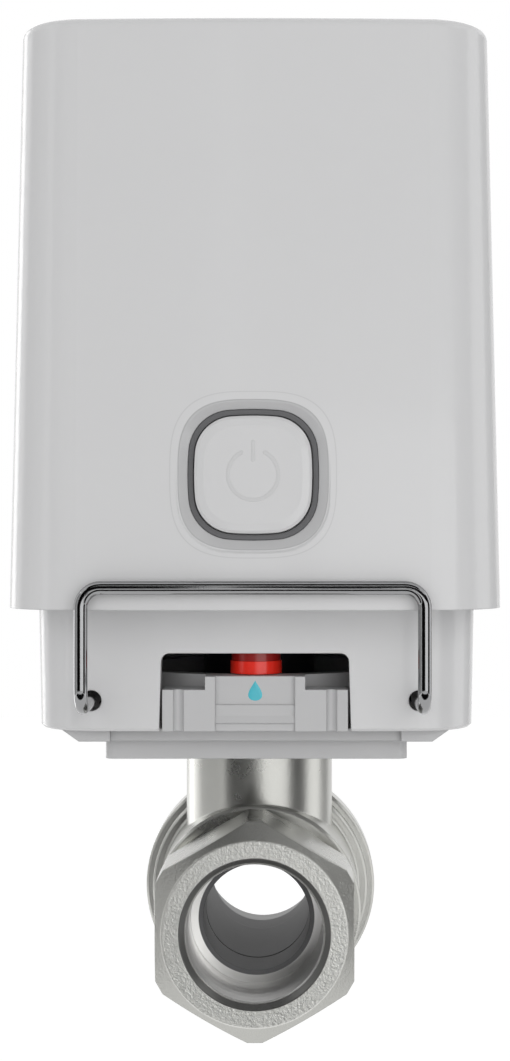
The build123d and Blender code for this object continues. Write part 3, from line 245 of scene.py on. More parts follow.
class Graph:
    """A thin layer over a node tree that keeps the wiring readable."""

    def __init__(self, tree: bpy.types.NodeTree) -> None:
        """Keeps the node tree that receives the nodes."""
        self.tree = tree

    def node(self, kind: str, **values: object) -> bpy.types.Node:
        """Adds a node.

        Args:
            kind: Blender's identifier of the node.
            **values: Attributes of the node.

        Returns:
            The new node.
        """
        made = self.tree.nodes.new(kind)
        for name, value in values.items():
            setattr(made, name, value)
        return made

    def feed(self, socket: bpy.types.NodeSocket, value: object) -> None:
        """Links a socket to another one, or sets its value.

        Args:
            socket: Input that is fed.
            value: Output socket, number or tuple.
        """
        if isinstance(value, bpy.types.NodeSocket):
            self.tree.links.new(value, socket)
        else:
            socket.default_value = value

    def math(self, operation: str, *values: object) -> bpy.types.NodeSocket:
        """Adds a scalar operation.

        Args:
            operation: Name of the operation.
            *values: Its one to three operands.

        Returns:
            The result's socket.
        """
        made = self.node("ShaderNodeMath", operation=operation)
        for socket, value in zip(made.inputs, values):
            self.feed(socket, value)
        return made.outputs[0]

    def joined(self, *values: object) -> bpy.types.NodeSocket:
        """Joins up to three scalars into a vector.

        Args:
            *values: The scalars. What is left out is 0.

        Returns:
            The vector's socket.
        """
        made = self.node("ShaderNodeCombineXYZ")
        for socket, value in zip(made.inputs, values):
            self.feed(socket, value)
        return made.outputs[0]

    def noise(self, place: object, scale: object, detail: float) -> bpy.types.NodeSocket:
        """Adds a noise texture.

        Args:
            place: Coordinates that it follows.
            scale: Its scale.
            detail: Its number of finer layers.

        Returns:
            The noise's value, about 0 to 1.
        """
        made = self.node("ShaderNodeTexNoise")
        self.feed(made.inputs["Vector"], place)
        self.feed(made.inputs["Scale"], scale)
        self.feed(made.inputs["Detail"], detail)
        return made.outputs[0]

    def blend(self, factor: object, low: object, high: object,
              colour: bool = False) -> bpy.types.NodeSocket:
        """Mixes two values or two colours.

        Args:
            factor: 0 for low, 1 for high.
            low: First value.
            high: Second value.
            colour: True for colours.

        Returns:
            The mixed socket.
        """
        made = self.node("ShaderNodeMix", data_type="RGBA" if colour else "FLOAT")
        first, result = MIX_COLOURS if colour else MIX_NUMBERS
        self.feed(made.inputs[0], factor)
        self.feed(made.inputs[first], low)
        self.feed(made.inputs[first + 1], high)
        return made.outputs[result]

    def steps(self, value: object, low: object, high: object, soft: object) -> bpy.types.NodeSocket:
        """A mask that is 1 between two limits and fades over a soft border.

        Args:
            value: Coordinate to test.
            low: Lower limit.
            high: Upper limit.
            soft: Width of the fade.

        Returns:
            The mask's socket.
        """
        rise = self.math("DIVIDE", self.math("SUBTRACT", value, low), soft)
        fall = self.math("DIVIDE", self.math("SUBTRACT", high, value), soft)
        inner = self.math("MINIMUM", self.math("MINIMUM", rise, fall), 1.0)
        return self.math("MAXIMUM", inner, 0.0)

    def radius(self, first: object, second: object) -> bpy.types.NodeSocket:
        """Distance from an axis: the root of the sum of the squares of two coordinates."""
        squares = [self.math("MULTIPLY", value, value) for value in (first, second)]
        return self.math("SQRT", self.math("ADD", *squares))


def blank_material(name: str) -> tuple[bpy.types.Material, Graph]:
    """Makes a material with an empty graph.

    Args:
        name: Its name.

    Returns:
        The material and its graph.
    """
    material = bpy.data.materials.new(name)
    material.use_nodes = True
    material.node_tree.nodes.clear()
    return material, Graph(material.node_tree)


def new_group(name: str, output: str, **inputs: str) -> tuple[Graph, bpy.types.Node]:
    """Makes a shader node group with its sockets.

    Args:
        name: Name of the group.
        output: Name of its one output, a number.
        **inputs: Socket type by input name.

    Returns:
        A graph that fills the group, and the node that holds its inputs.
    """
    group = bpy.data.node_groups.new(name, "ShaderNodeTree")
    for label, kind in inputs.items():
        group.interface.new_socket(name=label, in_out="INPUT", socket_type=kind)
    group.interface.new_socket(name=output, in_out="OUTPUT", socket_type=NUMBER)
    graph = Graph(group)
    return graph, graph.node("NodeGroupInput")


def wander_group() -> bpy.types.NodeTree:
    """A slow wander of value over a piece, from two noises of different size.

    Returns:
        The node group, with one output from 0 to 1.
    """
    graph, start = new_group("slow_wander", "Value", Vector=VECTOR)
    broad = graph.noise(start.outputs["Vector"], BROAD_SCALE, detail=3.0)
    close = graph.noise(start.outputs["Vector"], CLOSE_SCALE, detail=4.0)
    value = graph.blend(CLOSE_SHARE, broad, close)
    graph.feed(graph.node("NodeGroupOutput").inputs["Value"], value)
    return graph.tree


def lathe_group() -> bpy.types.NodeTree:
    """Fine turning marks: noise of the distance from an axis and the place along it.

    Returns:
        The node group, with one height output from 0 to 1.
    """
    graph, start = new_group("turning_marks", "Height", Radius=NUMBER, Place=NUMBER, Grain=NUMBER)
    place = graph.joined(start.outputs["Radius"], start.outputs["Place"])
    scale = graph.math("DIVIDE", 1.0, start.outputs["Grain"])
    height = graph.noise(place, scale, detail=2.0)
    graph.feed(graph.node("NodeGroupOutput").inputs["Height"], height)
    return graph.tree


def cast_group() -> bpy.types.NodeTree:
    """The skin of a plated casting: rounded grains with small pits between them.

    Returns:
        The node group, with one height output from 0 to 1.
    """
    graph, start = new_group("cast_skin", "Height", Vector=VECTOR, Grain=NUMBER)
    scale = graph.math("DIVIDE", 1.0, start.outputs["Grain"])
    pits = graph.noise(start.outputs["Vector"], scale, detail=1.5)
    grains = graph.node("ShaderNodeTexVoronoi", feature="SMOOTH_F1")
    graph.feed(grains.inputs["Vector"], start.outputs["Vector"])
    graph.feed(grains.inputs["Scale"], graph.math("MULTIPLY", scale, GRAIN_SCALE))
    height = graph.blend(GRAIN_SHARE, pits, grains.outputs[0])
    graph.feed(graph.node("NodeGroupOutput").inputs["Height"], height)
    return graph.tree


def thread_group() -> bpy.types.NodeTree:
    """A helical thread inside a port.

    The phase is the place along the pipe over the pitch plus the turn about
    the axis, and the height is the triangle wave of that phase. It fades at
    its radius and at both ends.

    Returns:
        The node group, with one height output from 0 to 1, and 0 outside the port.
    """
    graph, start = new_group("port_thread", "Height", Vector=VECTOR, Radius=NUMBER, Start=NUMBER,
                             End=NUMBER, Pitch=NUMBER, EdgeFade=NUMBER, RunOut=NUMBER)
    given = start.outputs
    parts = graph.node("ShaderNodeSeparateXYZ")
    graph.feed(parts.inputs[0], given["Vector"])
    x, y, z = parts.outputs
    turn = graph.math("DIVIDE", graph.math("ARCTAN2", z, x), 2.0 * math.pi)
    phase = graph.math("FRACT", graph.math("ADD", graph.math("DIVIDE", y, given["Pitch"]), turn))
    centred = graph.math("SUBTRACT", graph.math("MULTIPLY", phase, 2.0), 1.0)
    wave = graph.math("SUBTRACT", 1.0, graph.math("ABSOLUTE", centred))
    inside = graph.steps(graph.radius(x, z), 0.0, given["Radius"], given["EdgeFade"])
    length = graph.steps(y, given["Start"], given["End"], given["RunOut"])
    height = graph.math("MULTIPLY", wave, graph.math("MULTIPLY", inside, length))
    graph.feed(graph.node("NodeGroupOutput").inputs["Height"], height)
    return graph.tree


class Skin:
    """One material in the making, with the coordinates that its parts follow."""

    def __init__(self, name: str, groups: dict[str, bpy.types.NodeTree]) -> None:
        """Starts the material.

        Args:
            name: Its name.
            groups: Node groups that materials share.
        """
        self.material, self.graph = blank_material(name)
        self.groups = groups
        self.place = self.graph.node("ShaderNodeTexCoord").outputs["Object"]
        parts = self.graph.node("ShaderNodeSeparateXYZ")
        self.graph.feed(parts.inputs[0], self.place)
        self.axes = tuple(parts.outputs)
        self.wander = self.grouped("wander", Vector=self.place)

    def grouped(self, name: str, **values: object) -> bpy.types.NodeSocket:
        """Adds a shared group.

        Args:
            name: Which group.
            **values: Value or socket by input name.

        Returns:
            The group's output.
        """
        made = self.graph.node("ShaderNodeGroup")
        made.node_tree = self.groups[name]
        for label, value in values.items():
            self.graph.feed(made.inputs[label], value)
        return made.outputs[0]

    def relief(self, finish: Finish) -> bpy.types.NodeSocket:
        """Height of the small relief of a finish.

        Args:
            finish: The finish.

        Returns:
            Height from 0 to 1.
        """
        x, y, z = self.axes
        if finish.relief is Relief.CAST:
            return self.grouped("cast", Vector=self.place, Grain=finish.grain)
        if finish.relief is Relief.LATHE_PIPE:
            across = self.graph.radius(x, z)
            return self.grouped("lathe", Radius=across, Place=y, Grain=finish.grain)
        if finish.relief is Relief.LATHE_STEM:
            across = self.graph.radius(x, self.graph.math("SUBTRACT", y, STEM_Y))
            return self.grouped("lathe", Radius=across, Place=z, Grain=finish.grain)
        place = self.place
        if finish.relief is Relief.DRAWN:
            place = self.graph.joined(x, y, self.graph.math("MULTIPLY", z, DRAWN_SCALE))
        return self.graph.noise(place, 1.0 / finish.grain, detail=3.0)

    def coordinate(self, along: Along) -> bpy.types.NodeSocket:
        """The coordinate that a band follows.

        Args:
            along: Which coordinate.

        Returns:
            Its socket.
        """
        x, _, z = self.axes
        if along is Along.PIPE_RADIUS:
            return self.graph.radius(x, z)
        if along is Along.BUTTON:
            return self.button_size()
        if along is Along.ABS_X:
            return self.graph.math("ABSOLUTE", x)
        return self.axes[along.value]

    def button_size(self) -> bpy.types.NodeSocket:
        """Half width of the bulged square round the button that a point lies on.

        It is the root of order n of the sum of the distances across and up,
        each to the power n. Behind the cover's front a metre is added, which
        is too much for any band.

        Returns:
            Its socket.
        """
        op = self.graph.math
        x, y, z = self.axes
        powers = [
            op("POWER", op("ABSOLUTE", op("DIVIDE", distance, MM)), BUTTON_ORDER)
            for distance in (x, op("SUBTRACT", z, BUTTON_Z))
        ]
        size = op("POWER", op("ADD", *powers), 1.0 / BUTTON_ORDER)
        return op("ADD", op("MULTIPLY", size, MM), op("GREATER_THAN", y, COVER_FRONT_Y))

    def thread(self, spec: Thread) -> bpy.types.NodeSocket:
        """Height of a thread from 0 to 1, and 0 outside the port."""
        return self.grouped("thread", Vector=self.place, Radius=spec.radius, Start=spec.start,
                            End=spec.end, Pitch=spec.pitch, EdgeFade=spec.edge_fade,
                            RunOut=spec.run_out)

    def layer(self, finish: Finish) -> tuple[object, ...]:
        """Colour, roughness, metalness and height of one finish.

        Args:
            finish: The finish.

        Returns:
            The four, each a socket or a number.
        """
        graph = self.graph
        dark = tuple(c * (1.0 - finish.shade) for c in finish.colour) + (1.0,)
        light = tuple(min(1.0, c * (1.0 + finish.shade)) for c in finish.colour) + (1.0,)
        smoothest = finish.roughness - finish.smudge / 2
        return (
            graph.blend(self.wander, dark, light, colour=True),
            graph.math("MULTIPLY_ADD", self.wander, finish.smudge, smoothest),
            finish.metallic,
            graph.math("MULTIPLY", self.relief(finish), finish.height),
        )

    def compose(self, finish: Finish, bands: tuple[Band, ...],
                thread: Thread | None) -> bpy.types.Material:
        """Wires the material.

        Args:
            finish: Main finish.
            bands: Stretches that show another finish.
            thread: Thread that is cut into the piece, if any.

        Returns:
            The material.
        """
        graph = self.graph
        values = self.layer(finish)
        for band in bands:
            mask = graph.steps(self.coordinate(band.along), band.low, band.high, BAND_FADE)
            pairs = enumerate(zip(values, self.layer(band.finish)))
            values = [graph.blend(mask, *pair, colour=index == 0) for index, pair in pairs]
        colour, rough, metal, height = values
        if thread is not None:
            ridge = self.thread(thread)
            height = graph.math("MULTIPLY_ADD", ridge, thread.depth, height)
            shadow = graph.math("MULTIPLY", ridge, thread.shadow)
            colour = graph.blend(shadow, colour, (*thread.tint, 1.0), colour=True)
        bevel = graph.node("ShaderNodeBevel", samples=BEVEL_SAMPLES)
        graph.feed(bevel.inputs["Radius"], finish.edge)
        bump = graph.node("ShaderNodeBump")
        shader = graph.node("ShaderNodeBsdfPrincipled")
        fed = (
            (bump, "Strength", 1.0),
            (bump, "Distance", 1.0),
            (bump, "Height", height),
            (bump, "Normal", bevel.outputs[0]),
            (shader, "Base Color", colour),
            (shader, "Roughness", rough),
            (shader, "Metallic", metal),
            (shader, "Normal", bump.outputs[0]),
            (shader, "IOR", finish.ior),
            (shader, "Coat Weight", finish.coat),
            (shader, "Coat Roughness", COAT_ROUGHNESS),
            (shader, "Transmission Weight", finish.transmission),
            (graph.node("ShaderNodeOutputMaterial"), "Surface", shader.outputs[0]),
        )
        for node, name, value in fed:
            graph.feed(node.inputs[name], value)
        return self.material


class Workshop:
    """Makes each finish once and puts it on pieces."""

    def __init__(self) -> None:
        """Builds the shared node groups."""
        self.groups = {
            "wander": wander_group(),
            "lathe": lathe_group(),
            "cast": cast_group(),
            "thread": thread_group(),
        }
        self.made: dict[tuple, bpy.types.Material] = {}

    def dress(self, piece: bpy.types.Object, finish: Finish, bands: tuple[Band, ...] = (),
              thread: Thread | None = None) -> None:
        """Puts a finish on a piece. Its material is made on first use.

        Args:
            piece: Mesh object.
            finish: Main finish.
            bands: Stretches that show another finish.
            thread: Thread that is cut into the piece, if any.
        """
        key = (finish, bands, thread)
        if key not in self.made:
            name = "_".join([finish.name] + [band.finish.name for band in bands])
            self.made[key] = Skin(name, self.groups).compose(finish, bands, thread)
        piece.data.materials.clear()
        piece.data.materials.append(self.made[key])


def mesh_piece(name: str, points: np.ndarray, faces: list[list[int]],
               crease: float) -> bpy.types.Object:
    """Makes a smooth mesh object whose faces point outwards.

    The faces are turned round where their signed volume, the sum of the
    triple products of their triangles, is below zero.

    Args:
        name: Name of the piece.
        points: Array of n by 3 coordinates.
        faces: Vertex numbers of each face.
        crease: Angle in degrees above which an edge stays sharp.

    Returns:
        The linked object.
    """
    fans = [(face[0], *pair) for face in faces for pair in zip(face[1:], face[2:])]
    first, second, third = points[np.array(fans).T]
    volume = np.sum(first * np.cross(second, third))
    if volume < 0:
        faces = [face[::-1] for face in faces]
    mesh = bpy.data.meshes.new(name)
    mesh.from_pydata(points.tolist(), [], faces)
    mesh.polygons.foreach_set("use_smooth", np.ones(len(mesh.polygons), dtype=bool))
    mesh.set_sharp_from_angle(angle=math.radians(crease))
    mesh.update()
    piece = bpy.data.objects.new(name, mesh)
    bpy.context.scene.collection.objects.link(piece)
    return piece


def tube_faces(rings: int, around: int) -> list[list[int]]:
    """Faces of a closed tube: quads between rings and a fan at each pole.

    The point at a step of a ring has the number of the ring times the points
    in each ring, plus the step.

    Args:
        rings: Number of rings.
        around: Points in each ring.

    Returns:
        Vertex numbers, with the first pole after the rings and then the last pole.
    """
    low = np.arange(rings * around).reshape(rings, around)
    after = np.roll(low, -1, axis=1)
    quads = np.stack([low[:-1], after[:-1], after[1:], low[1:]], axis=-1).reshape(-1, 4)
    first = np.column_stack([after[0], low[0], np.full(around, rings * around)])
    last = np.column_stack([low[-1], after[-1], np.full(around, rings * around + 1)])
    fans = np.stack([first, last], axis=1).reshape(-1, 3)
    return quads.tolist() + fans.tolist()


def bead(path: np.ndarray, half_width: float, rise: float, sink: float, around: int = 16,
         cap: int = 6) -> tuple[np.ndarray, list[list[int]]]:
    """A rounded line that lies on a face turned to -Y.

    Each ring is an ellipse across the path whose upper half has the rise as
    its height and whose lower half has the sink. At both ends the rings
    shrink along a quarter circle.

    Args:
        path: Array of n by 3 points on the face.
        half_width: Half the width of the line.
        rise: Height over the face.
        sink: Depth under the face.
        around: Points in each ring.
        cap: Rings at each rounded end.

    Returns:
        Points and faces.
    """
    tangent = np.gradient(path, axis=0)
    tangent /= np.linalg.norm(tangent, axis=1)[:, None]
    angle = np.linspace(0.0, math.pi / 2, cap, endpoint=False)[1:]
    lead = path[0] - tangent[0] * (half_width * np.cos(angle))[:, None]
    trail = path[-1] + tangent[-1] * (half_width * np.cos(angle[::-1]))[:, None]
    centres = np.vstack([lead, path, trail])
    before = np.repeat(tangent[:1], len(angle), 0)
    after = np.repeat(tangent[-1:], len(angle), 0)
    along = np.vstack([before, tangent, after])
    scale = np.concatenate([np.sin(angle), np.ones(len(path)), np.sin(angle[::-1])])
    normal = np.array([0.0, -1.0, 0.0])
    side = np.cross(along, normal)
    turn = np.linspace(0.0, 2 * math.pi, around, endpoint=False)
    lift = np.where(np.sin(turn) > 0, rise, sink) * np.sin(turn)
    points = (centres[:, None, :]
              + side[:, None, :] * (np.cos(turn) * half_width)[None, :, None] * scale[:, None, None]
              + normal[None, None, :] * lift[None, :, None] * scale[:, None, None])
    poles = np.array([path[0] - tangent[0] * half_width, path[-1] + tangent[-1] * half_width])
    return np.vstack([points.reshape(-1, 3), poles]), tube_faces(len(centres), around)


def domed_plate(outline: np.ndarray, face_y: float, rise: float, sink: float,
                rings: int = 10) -> tuple[np.ndarray, list[list[int]]]:
    """A small plate with a domed front on a face turned to -Y.

    Every ring is the outline shrunk towards its middle by s, at a height of
    the rise times the root of 1 - s squared.

    Args:
        outline: Array of n by 2 points, x and z.
        face_y: Place of the face along Y.
        rise: Height of the dome over the face.
        sink: Depth under the face.
        rings: Rings from the edge to the middle.

    Returns:
        Points and faces.
    """
    middle = outline.mean(axis=0)
    share = np.cos(np.linspace(0.0, math.pi / 2, rings, endpoint=False))
    height = np.sqrt(1.0 - share ** 2) * rise
    scale = np.concatenate([[1.0], share])
    level = np.concatenate([[-sink], height])
    flat = middle + (outline - middle) * scale[:, None, None]
    depth = np.broadcast_to((face_y - level)[:, None], flat.shape[:2])
    points = np.stack([flat[..., 0], depth, flat[..., 1]], axis=-1).reshape(-1, 3)
    poles = np.array([[middle[0], face_y + sink, middle[1]], [middle[0], face_y - rise, middle[1]]])
    return np.vstack([points, poles]), tube_faces(len(scale), len(outline))


@dataclass
class SubAssembly:
    """Pieces of the frame that belong together.

    Attributes:
        body: CAD body that the added pieces ride on.
        finishes: Finish of each CAD node.
        bands: Bands of other finishes by CAD node.
        threads: Thread by CAD node.
    """

    body: str
    finishes: dict[str, Finish]
    bands: dict[str, tuple[Band, ...]] = field(default_factory=dict)
    threads: dict[str, Thread] = field(default_factory=dict)

    def dress(self, shop: Workshop) -> None:
        """Puts the finishes on the CAD nodes.

        Args:
            shop: Workshop that makes the materials.
        """
        for node, finish in self.finishes.items():
            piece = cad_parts[node]
            shop.dress(piece, finish, self.bands.get(node, ()), self.threads.get(node))

    def build(self, shop: Workshop) -> list[bpy.types.Object]:
        """Adds the pieces that only the eye needs and returns them. Here there are none."""
        return []


@dataclass
class Valve(SubAssembly):
    """The plated brass valve with its ball, seats, stem and nut."""

    body: str = "valve_and_drive"
    finishes: dict[str, Finish] = field(default_factory=lambda: {
        "valve_body": NICKEL_CAST,
        "end_connector": NICKEL_CAST,
        "ball": BALL,
        "front_seat": SEAT,
        "rear_seat": SEAT,
        "stem": STEEL,
        "stem_rings": RUBBER,
        "stem_washer": FLUOR,
        "connector_seal": RUBBER,
        "neck_nut": STEEL,
        "neck_seal": RUBBER,
    })
    bands: dict[str, tuple[Band, ...]] = field(default_factory=lambda: {
        "end_connector": (
            Band(Along.Y, -2.0 * MM, 1.2 * MM, NICKEL_SLOPE),
            Band(Along.Y, -2.0 * MM, -0.78 * MM, NICKEL_GRAIN),
            Band(Along.PIPE_RADIUS, 0.0, 9.5 * MM, NICKEL_BORE),
            # Painted shade on the mouth's chamfer and deep in the waterway.
            Band(Along.PIPE_RADIUS, 9.5 * MM, 10.35 * MM, NICKEL_MOUTH_PAINTED_SHADE),
            Band(Along.PIPE_RADIUS, 0.0, 8.2 * MM, PASSAGE_PAINTED_SHADE),
        ),
        # Painted shade deep in the ball's bore.
        "ball": (Band(Along.PIPE_RADIUS, 0.0, 7.62 * MM, PASSAGE_PAINTED_SHADE),),
        "valve_body": (
            Band(Along.Y, 52.0 * MM, 56.0 * MM, NICKEL_SLOPE),
            Band(Along.Y, 53.98 * MM, 56.0 * MM, NICKEL_GRAIN),
            # Painted shade in the rear bore, on its mouth's chamfer and deep in its waterway.
            Band(Along.PIPE_RADIUS, 0.0, 9.5 * MM, NICKEL_REAR_PAINTED_SHADE),
            Band(Along.PIPE_RADIUS, 9.5 * MM, 10.35 * MM, NICKEL_MOUTH_PAINTED_SHADE),
            Band(Along.PIPE_RADIUS, 0.0, 8.2 * MM, PASSAGE_PAINTED_SHADE),
        ),
    })
    threads: dict[str, Thread] = field(default_factory=lambda: {
        "end_connector": Thread(9.45 * MM, -0.4 * MM, 10.2 * MM),
        "valve_body": Thread(9.45 * MM, 43.0 * MM, 53.6 * MM),
    })


@dataclass
class Bracket(SubAssembly):
    """The bracket under the drive and the drop sign on its tongue.

    Attributes:
        sign_height: Height of the drop.
        sign_width: Width of the drop.
        sign_z: Height of the drop's middle.
        panel_y: Face that carries the drop.
        sign_rise: Thickness of the print over the face.
        sign_taper: Power that draws the drop to its tip.
        crease: Angle in degrees above which an edge of the sign stays sharp.
    """

    body: str = "valve_and_drive"
    finishes: dict[str, Finish] = field(default_factory=lambda: {"valve_bracket": BRACKET})
    sign_height: float = 2.8 * MM
    sign_width: float = 1.92 * MM
    sign_z: float = 32.55 * MM
    panel_y: float = 3.0 * MM
    sign_rise: float = 0.05 * MM
    sign_taper: float = 1.6
    crease: float = 75.0

    def drop_outline(self, count: int = 72) -> np.ndarray:
        """Outline of a falling drop: x follows sin t sin(t/2)^taper and z follows cos t.

        Args:
            count: Number of points.

        Returns:
            Array of x and z.
        """
        turn = np.linspace(0.0, 2 * math.pi, count, endpoint=False)
        across = np.sin(turn) * np.abs(np.sin(turn / 2)) ** self.sign_taper
        across *= self.sign_width / 2 / np.abs(across).max()
        return np.column_stack([across, self.sign_z + np.cos(turn) * self.sign_height / 2])

    def build(self, shop: Workshop) -> list[bpy.types.Object]:
        """Adds the drop sign.

        Args:
            shop: Workshop that makes the materials.

        Returns:
            The sign.
        """
        plate = domed_plate(self.drop_outline(), self.panel_y, self.sign_rise, self.sign_rise)
        sign = mesh_piece("drop_sign", *plate, self.crease)
        shop.dress(sign, DROP)
        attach(sign, self.body)
        return [sign]


@dataclass
class Housing(SubAssembly):
    """The lower housing with the window, the disc, the marker and the bush."""

    body: str = "valve_and_drive"
    finishes: dict[str, Finish] = field(default_factory=lambda: {
        "base_housing": SHELL,
        "cover_seal": RUBBER,
        "output_bush": BRONZE,
        "indicator_disc": DISC,
        "indicator_marker": RED,
        "output_shaft": BLACK,
        "base_screws": STEEL,
    })
    bands: dict[str, tuple[Band, ...]] = field(default_factory=lambda: {
        # Painted shade on the marker's upper neck.
        "indicator_marker": (Band(Along.Z, 36.35 * MM, 45.0 * MM, RED_NECK_PAINTED_SHADE),),
    })


@dataclass
class Cover(SubAssembly):
    """The lift-off cover with the light ring and the plate behind the button."""

    body: str = "cover_body"
    finishes: dict[str, Finish] = field(default_factory=lambda: {
        "outer_cover": SHELL,
        "light_ring": SMOKE,
        "button_retainer": BLACK,
    })
    bands: dict[str, tuple[Band, ...]] = field(default_factory=lambda: {
        # Painted shade in bands round the button: the dished slope, the dip line at its edge and
        # the rim line.
        "outer_cover": (
            Band(Along.BUTTON, 0.0, 9.9 * MM, DISH_PAINTED_SHADE),
            Band(Along.BUTTON, 9.76 * MM, 9.96 * MM, DISH_LINE_PAINTED_SHADE),
            Band(Along.BUTTON, 10.84 * MM, 11.02 * MM, RIM_LINE_PAINTED_SHADE),
        ),
    })


@dataclass
class Button(SubAssembly):
    """The button cap with its power sign.

    Attributes:
        centre_z: Height of the button's middle.
        face_y: Front face of the cap.
        ring_radius: Middle radius of the sign's ring.
        line_width: Width of the sign's lines.
        gap_angle: Half the opening of the ring, in degrees.
        bar_low: Lower end of the bar over the middle.
        bar_high: Upper end of the bar over the middle.
        line_rise: Height of the lines over the cap.
        crease: Angle in degrees above which an edge of the lines stays sharp.
    """

    body: str = "button_body"
    finishes: dict[str, Finish] = field(default_factory=lambda: {"function_button": CAP})
    centre_z: float = BUTTON_Z
    face_y: float = -7.422 * MM
    ring_radius: float = 3.3 * MM
    line_width: float = 0.5 * MM
    gap_angle: float = 28.0
    bar_low: float = 1.9 * MM
    bar_high: float = 4.3 * MM
    line_rise: float = 0.018 * MM
    crease: float = 80.0

    def ring_path(self, count: int = 64) -> np.ndarray:
        """Points of the open ring: a circle about the cap's middle with a gap at the top.

        Args:
            count: Number of points.

        Returns:
            Array of points on the cap's face.
        """
        start = math.radians(90 + self.gap_angle)
        end = math.radians(450 - self.gap_angle)
        turn = np.linspace(start, end, count)
        return np.column_stack([
            self.ring_radius * np.cos(turn),
            np.full(count, self.face_y),
            self.centre_z + self.ring_radius * np.sin(turn),
        ])

    def bar_path(self, count: int = 8) -> np.ndarray:
        """Points of the upright bar, evenly spaced up a line on the cap's face."""
        heights = np.linspace(self.centre_z + self.bar_low, self.centre_z + self.bar_high, count)
        return np.column_stack([np.zeros(count), np.full(count, self.face_y), heights])

    def build(self, shop: Workshop) -> list[bpy.types.Object]:
        """Adds the two lines of the power sign.

        Args:
            shop: Workshop that makes the materials.

        Returns:
            The ring and the bar.
        """
        made = []
        paths = {"power_sign_ring": self.ring_path(), "power_sign_bar": self.bar_path()}
        for name, path in paths.items():
            shape = bead(path, self.line_width / 2, self.line_rise, self.line_rise)
            line = mesh_piece(name, *shape, self.crease)
            # The lines are darkened: painted shade of the engraving.
            shop.dress(line, SIGN_PAINTED_SHADE)
            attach(line, self.body)
            made.append(line)
        return made


@dataclass
class WireLock(SubAssembly):
    """The bright wire bow that locks the drive to the valve."""

    body: str = "wire_body"
    finishes: dict[str, Finish] = field(default_factory=lambda: {"wire_lock": CHROME})


@dataclass
class GearTrain(SubAssembly):
    """The gearbox: case, lid, wheels, cam, switches and motor."""

    body: str = "valve_and_drive"
    finishes: dict[str, Finish] = field(default_factory=lambda: {
        "gear_case": BLACK,
        "case_lid": BLACK,
        "output_gear": GEAR_STEEL,
        "second_gear": ACETAL,
        "first_gear": ACETAL,
        "motor_pinion": BRONZE,
        "gear_axles": STEEL,
        "position_cam": BLACK,
        "lid_screws": STEEL,
        "end_switches": CHIP,
        "drive_motor": STEEL,
    })
    bands: dict[str, tuple[Band, ...]] = field(default_factory=lambda: {
        "drive_motor": (Band(Along.Z, 78.4 * MM, 80.5 * MM, MOTOR_CAP),),
    })


@dataclass
class Electronics(SubAssembly):
    """The circuit board with its chips, switch, lights and aerial."""

    body: str = "valve_and_drive"
    finishes: dict[str, Finish] = field(default_factory=lambda: {
        "circuit_board": BOARD,
        "board_switch": CHIP,
        "board_screws": STEEL,
        "status_lights": LENS,
        "board_antenna": COPPER,
    })
    bands: dict[str, tuple[Band, ...]] = field(default_factory=lambda: {
        "circuit_board": (Band(Along.Y, 0.0, 4.28 * MM, CHIP),),
    })


@dataclass
class PowerPack(SubAssembly):
    """The cells in their holder with the contacts."""

    body: str = "valve_and_drive"
    finishes: dict[str, Finish] = field(default_factory=lambda: {
        "battery_cells": WRAP,
        "battery_holder": BLACK,
        "contact_leaves": CELL_END,
        "contact_pads": CELL_END,
    })
    bands: dict[str, tuple[Band, ...]] = field(default_factory=lambda: {
        "battery_cells": (Band(Along.ABS_X, 15.9 * MM, 20.0 * MM, CELL_END),),
    })


@dataclass(frozen=True)
class Softbox:
    """A lamp with a rectangular face.

    Attributes:
        name: Name of the lamp.
        place: Where it stands.
        aim: Point that it faces.
        width: Width of the face.
        height: Height of the face.
        power: Power in watts.
        mirrored: True if bright surfaces show it.
    """

    name: str
    place: Place
    aim: Place
    width: float
    height: float
    power: float
    mirrored: bool = True


@dataclass(frozen=True)
class Flag:
    """A dark card that metal mirrors, as studios use round bright parts.

    Attributes:
        name: Name of the card.
        place: Middle of the card.
        aim: Point that it faces.
        width: Its width.
        height: Its height.
    """

    name: str
    place: Place
    aim: Place
    width: float
    height: float


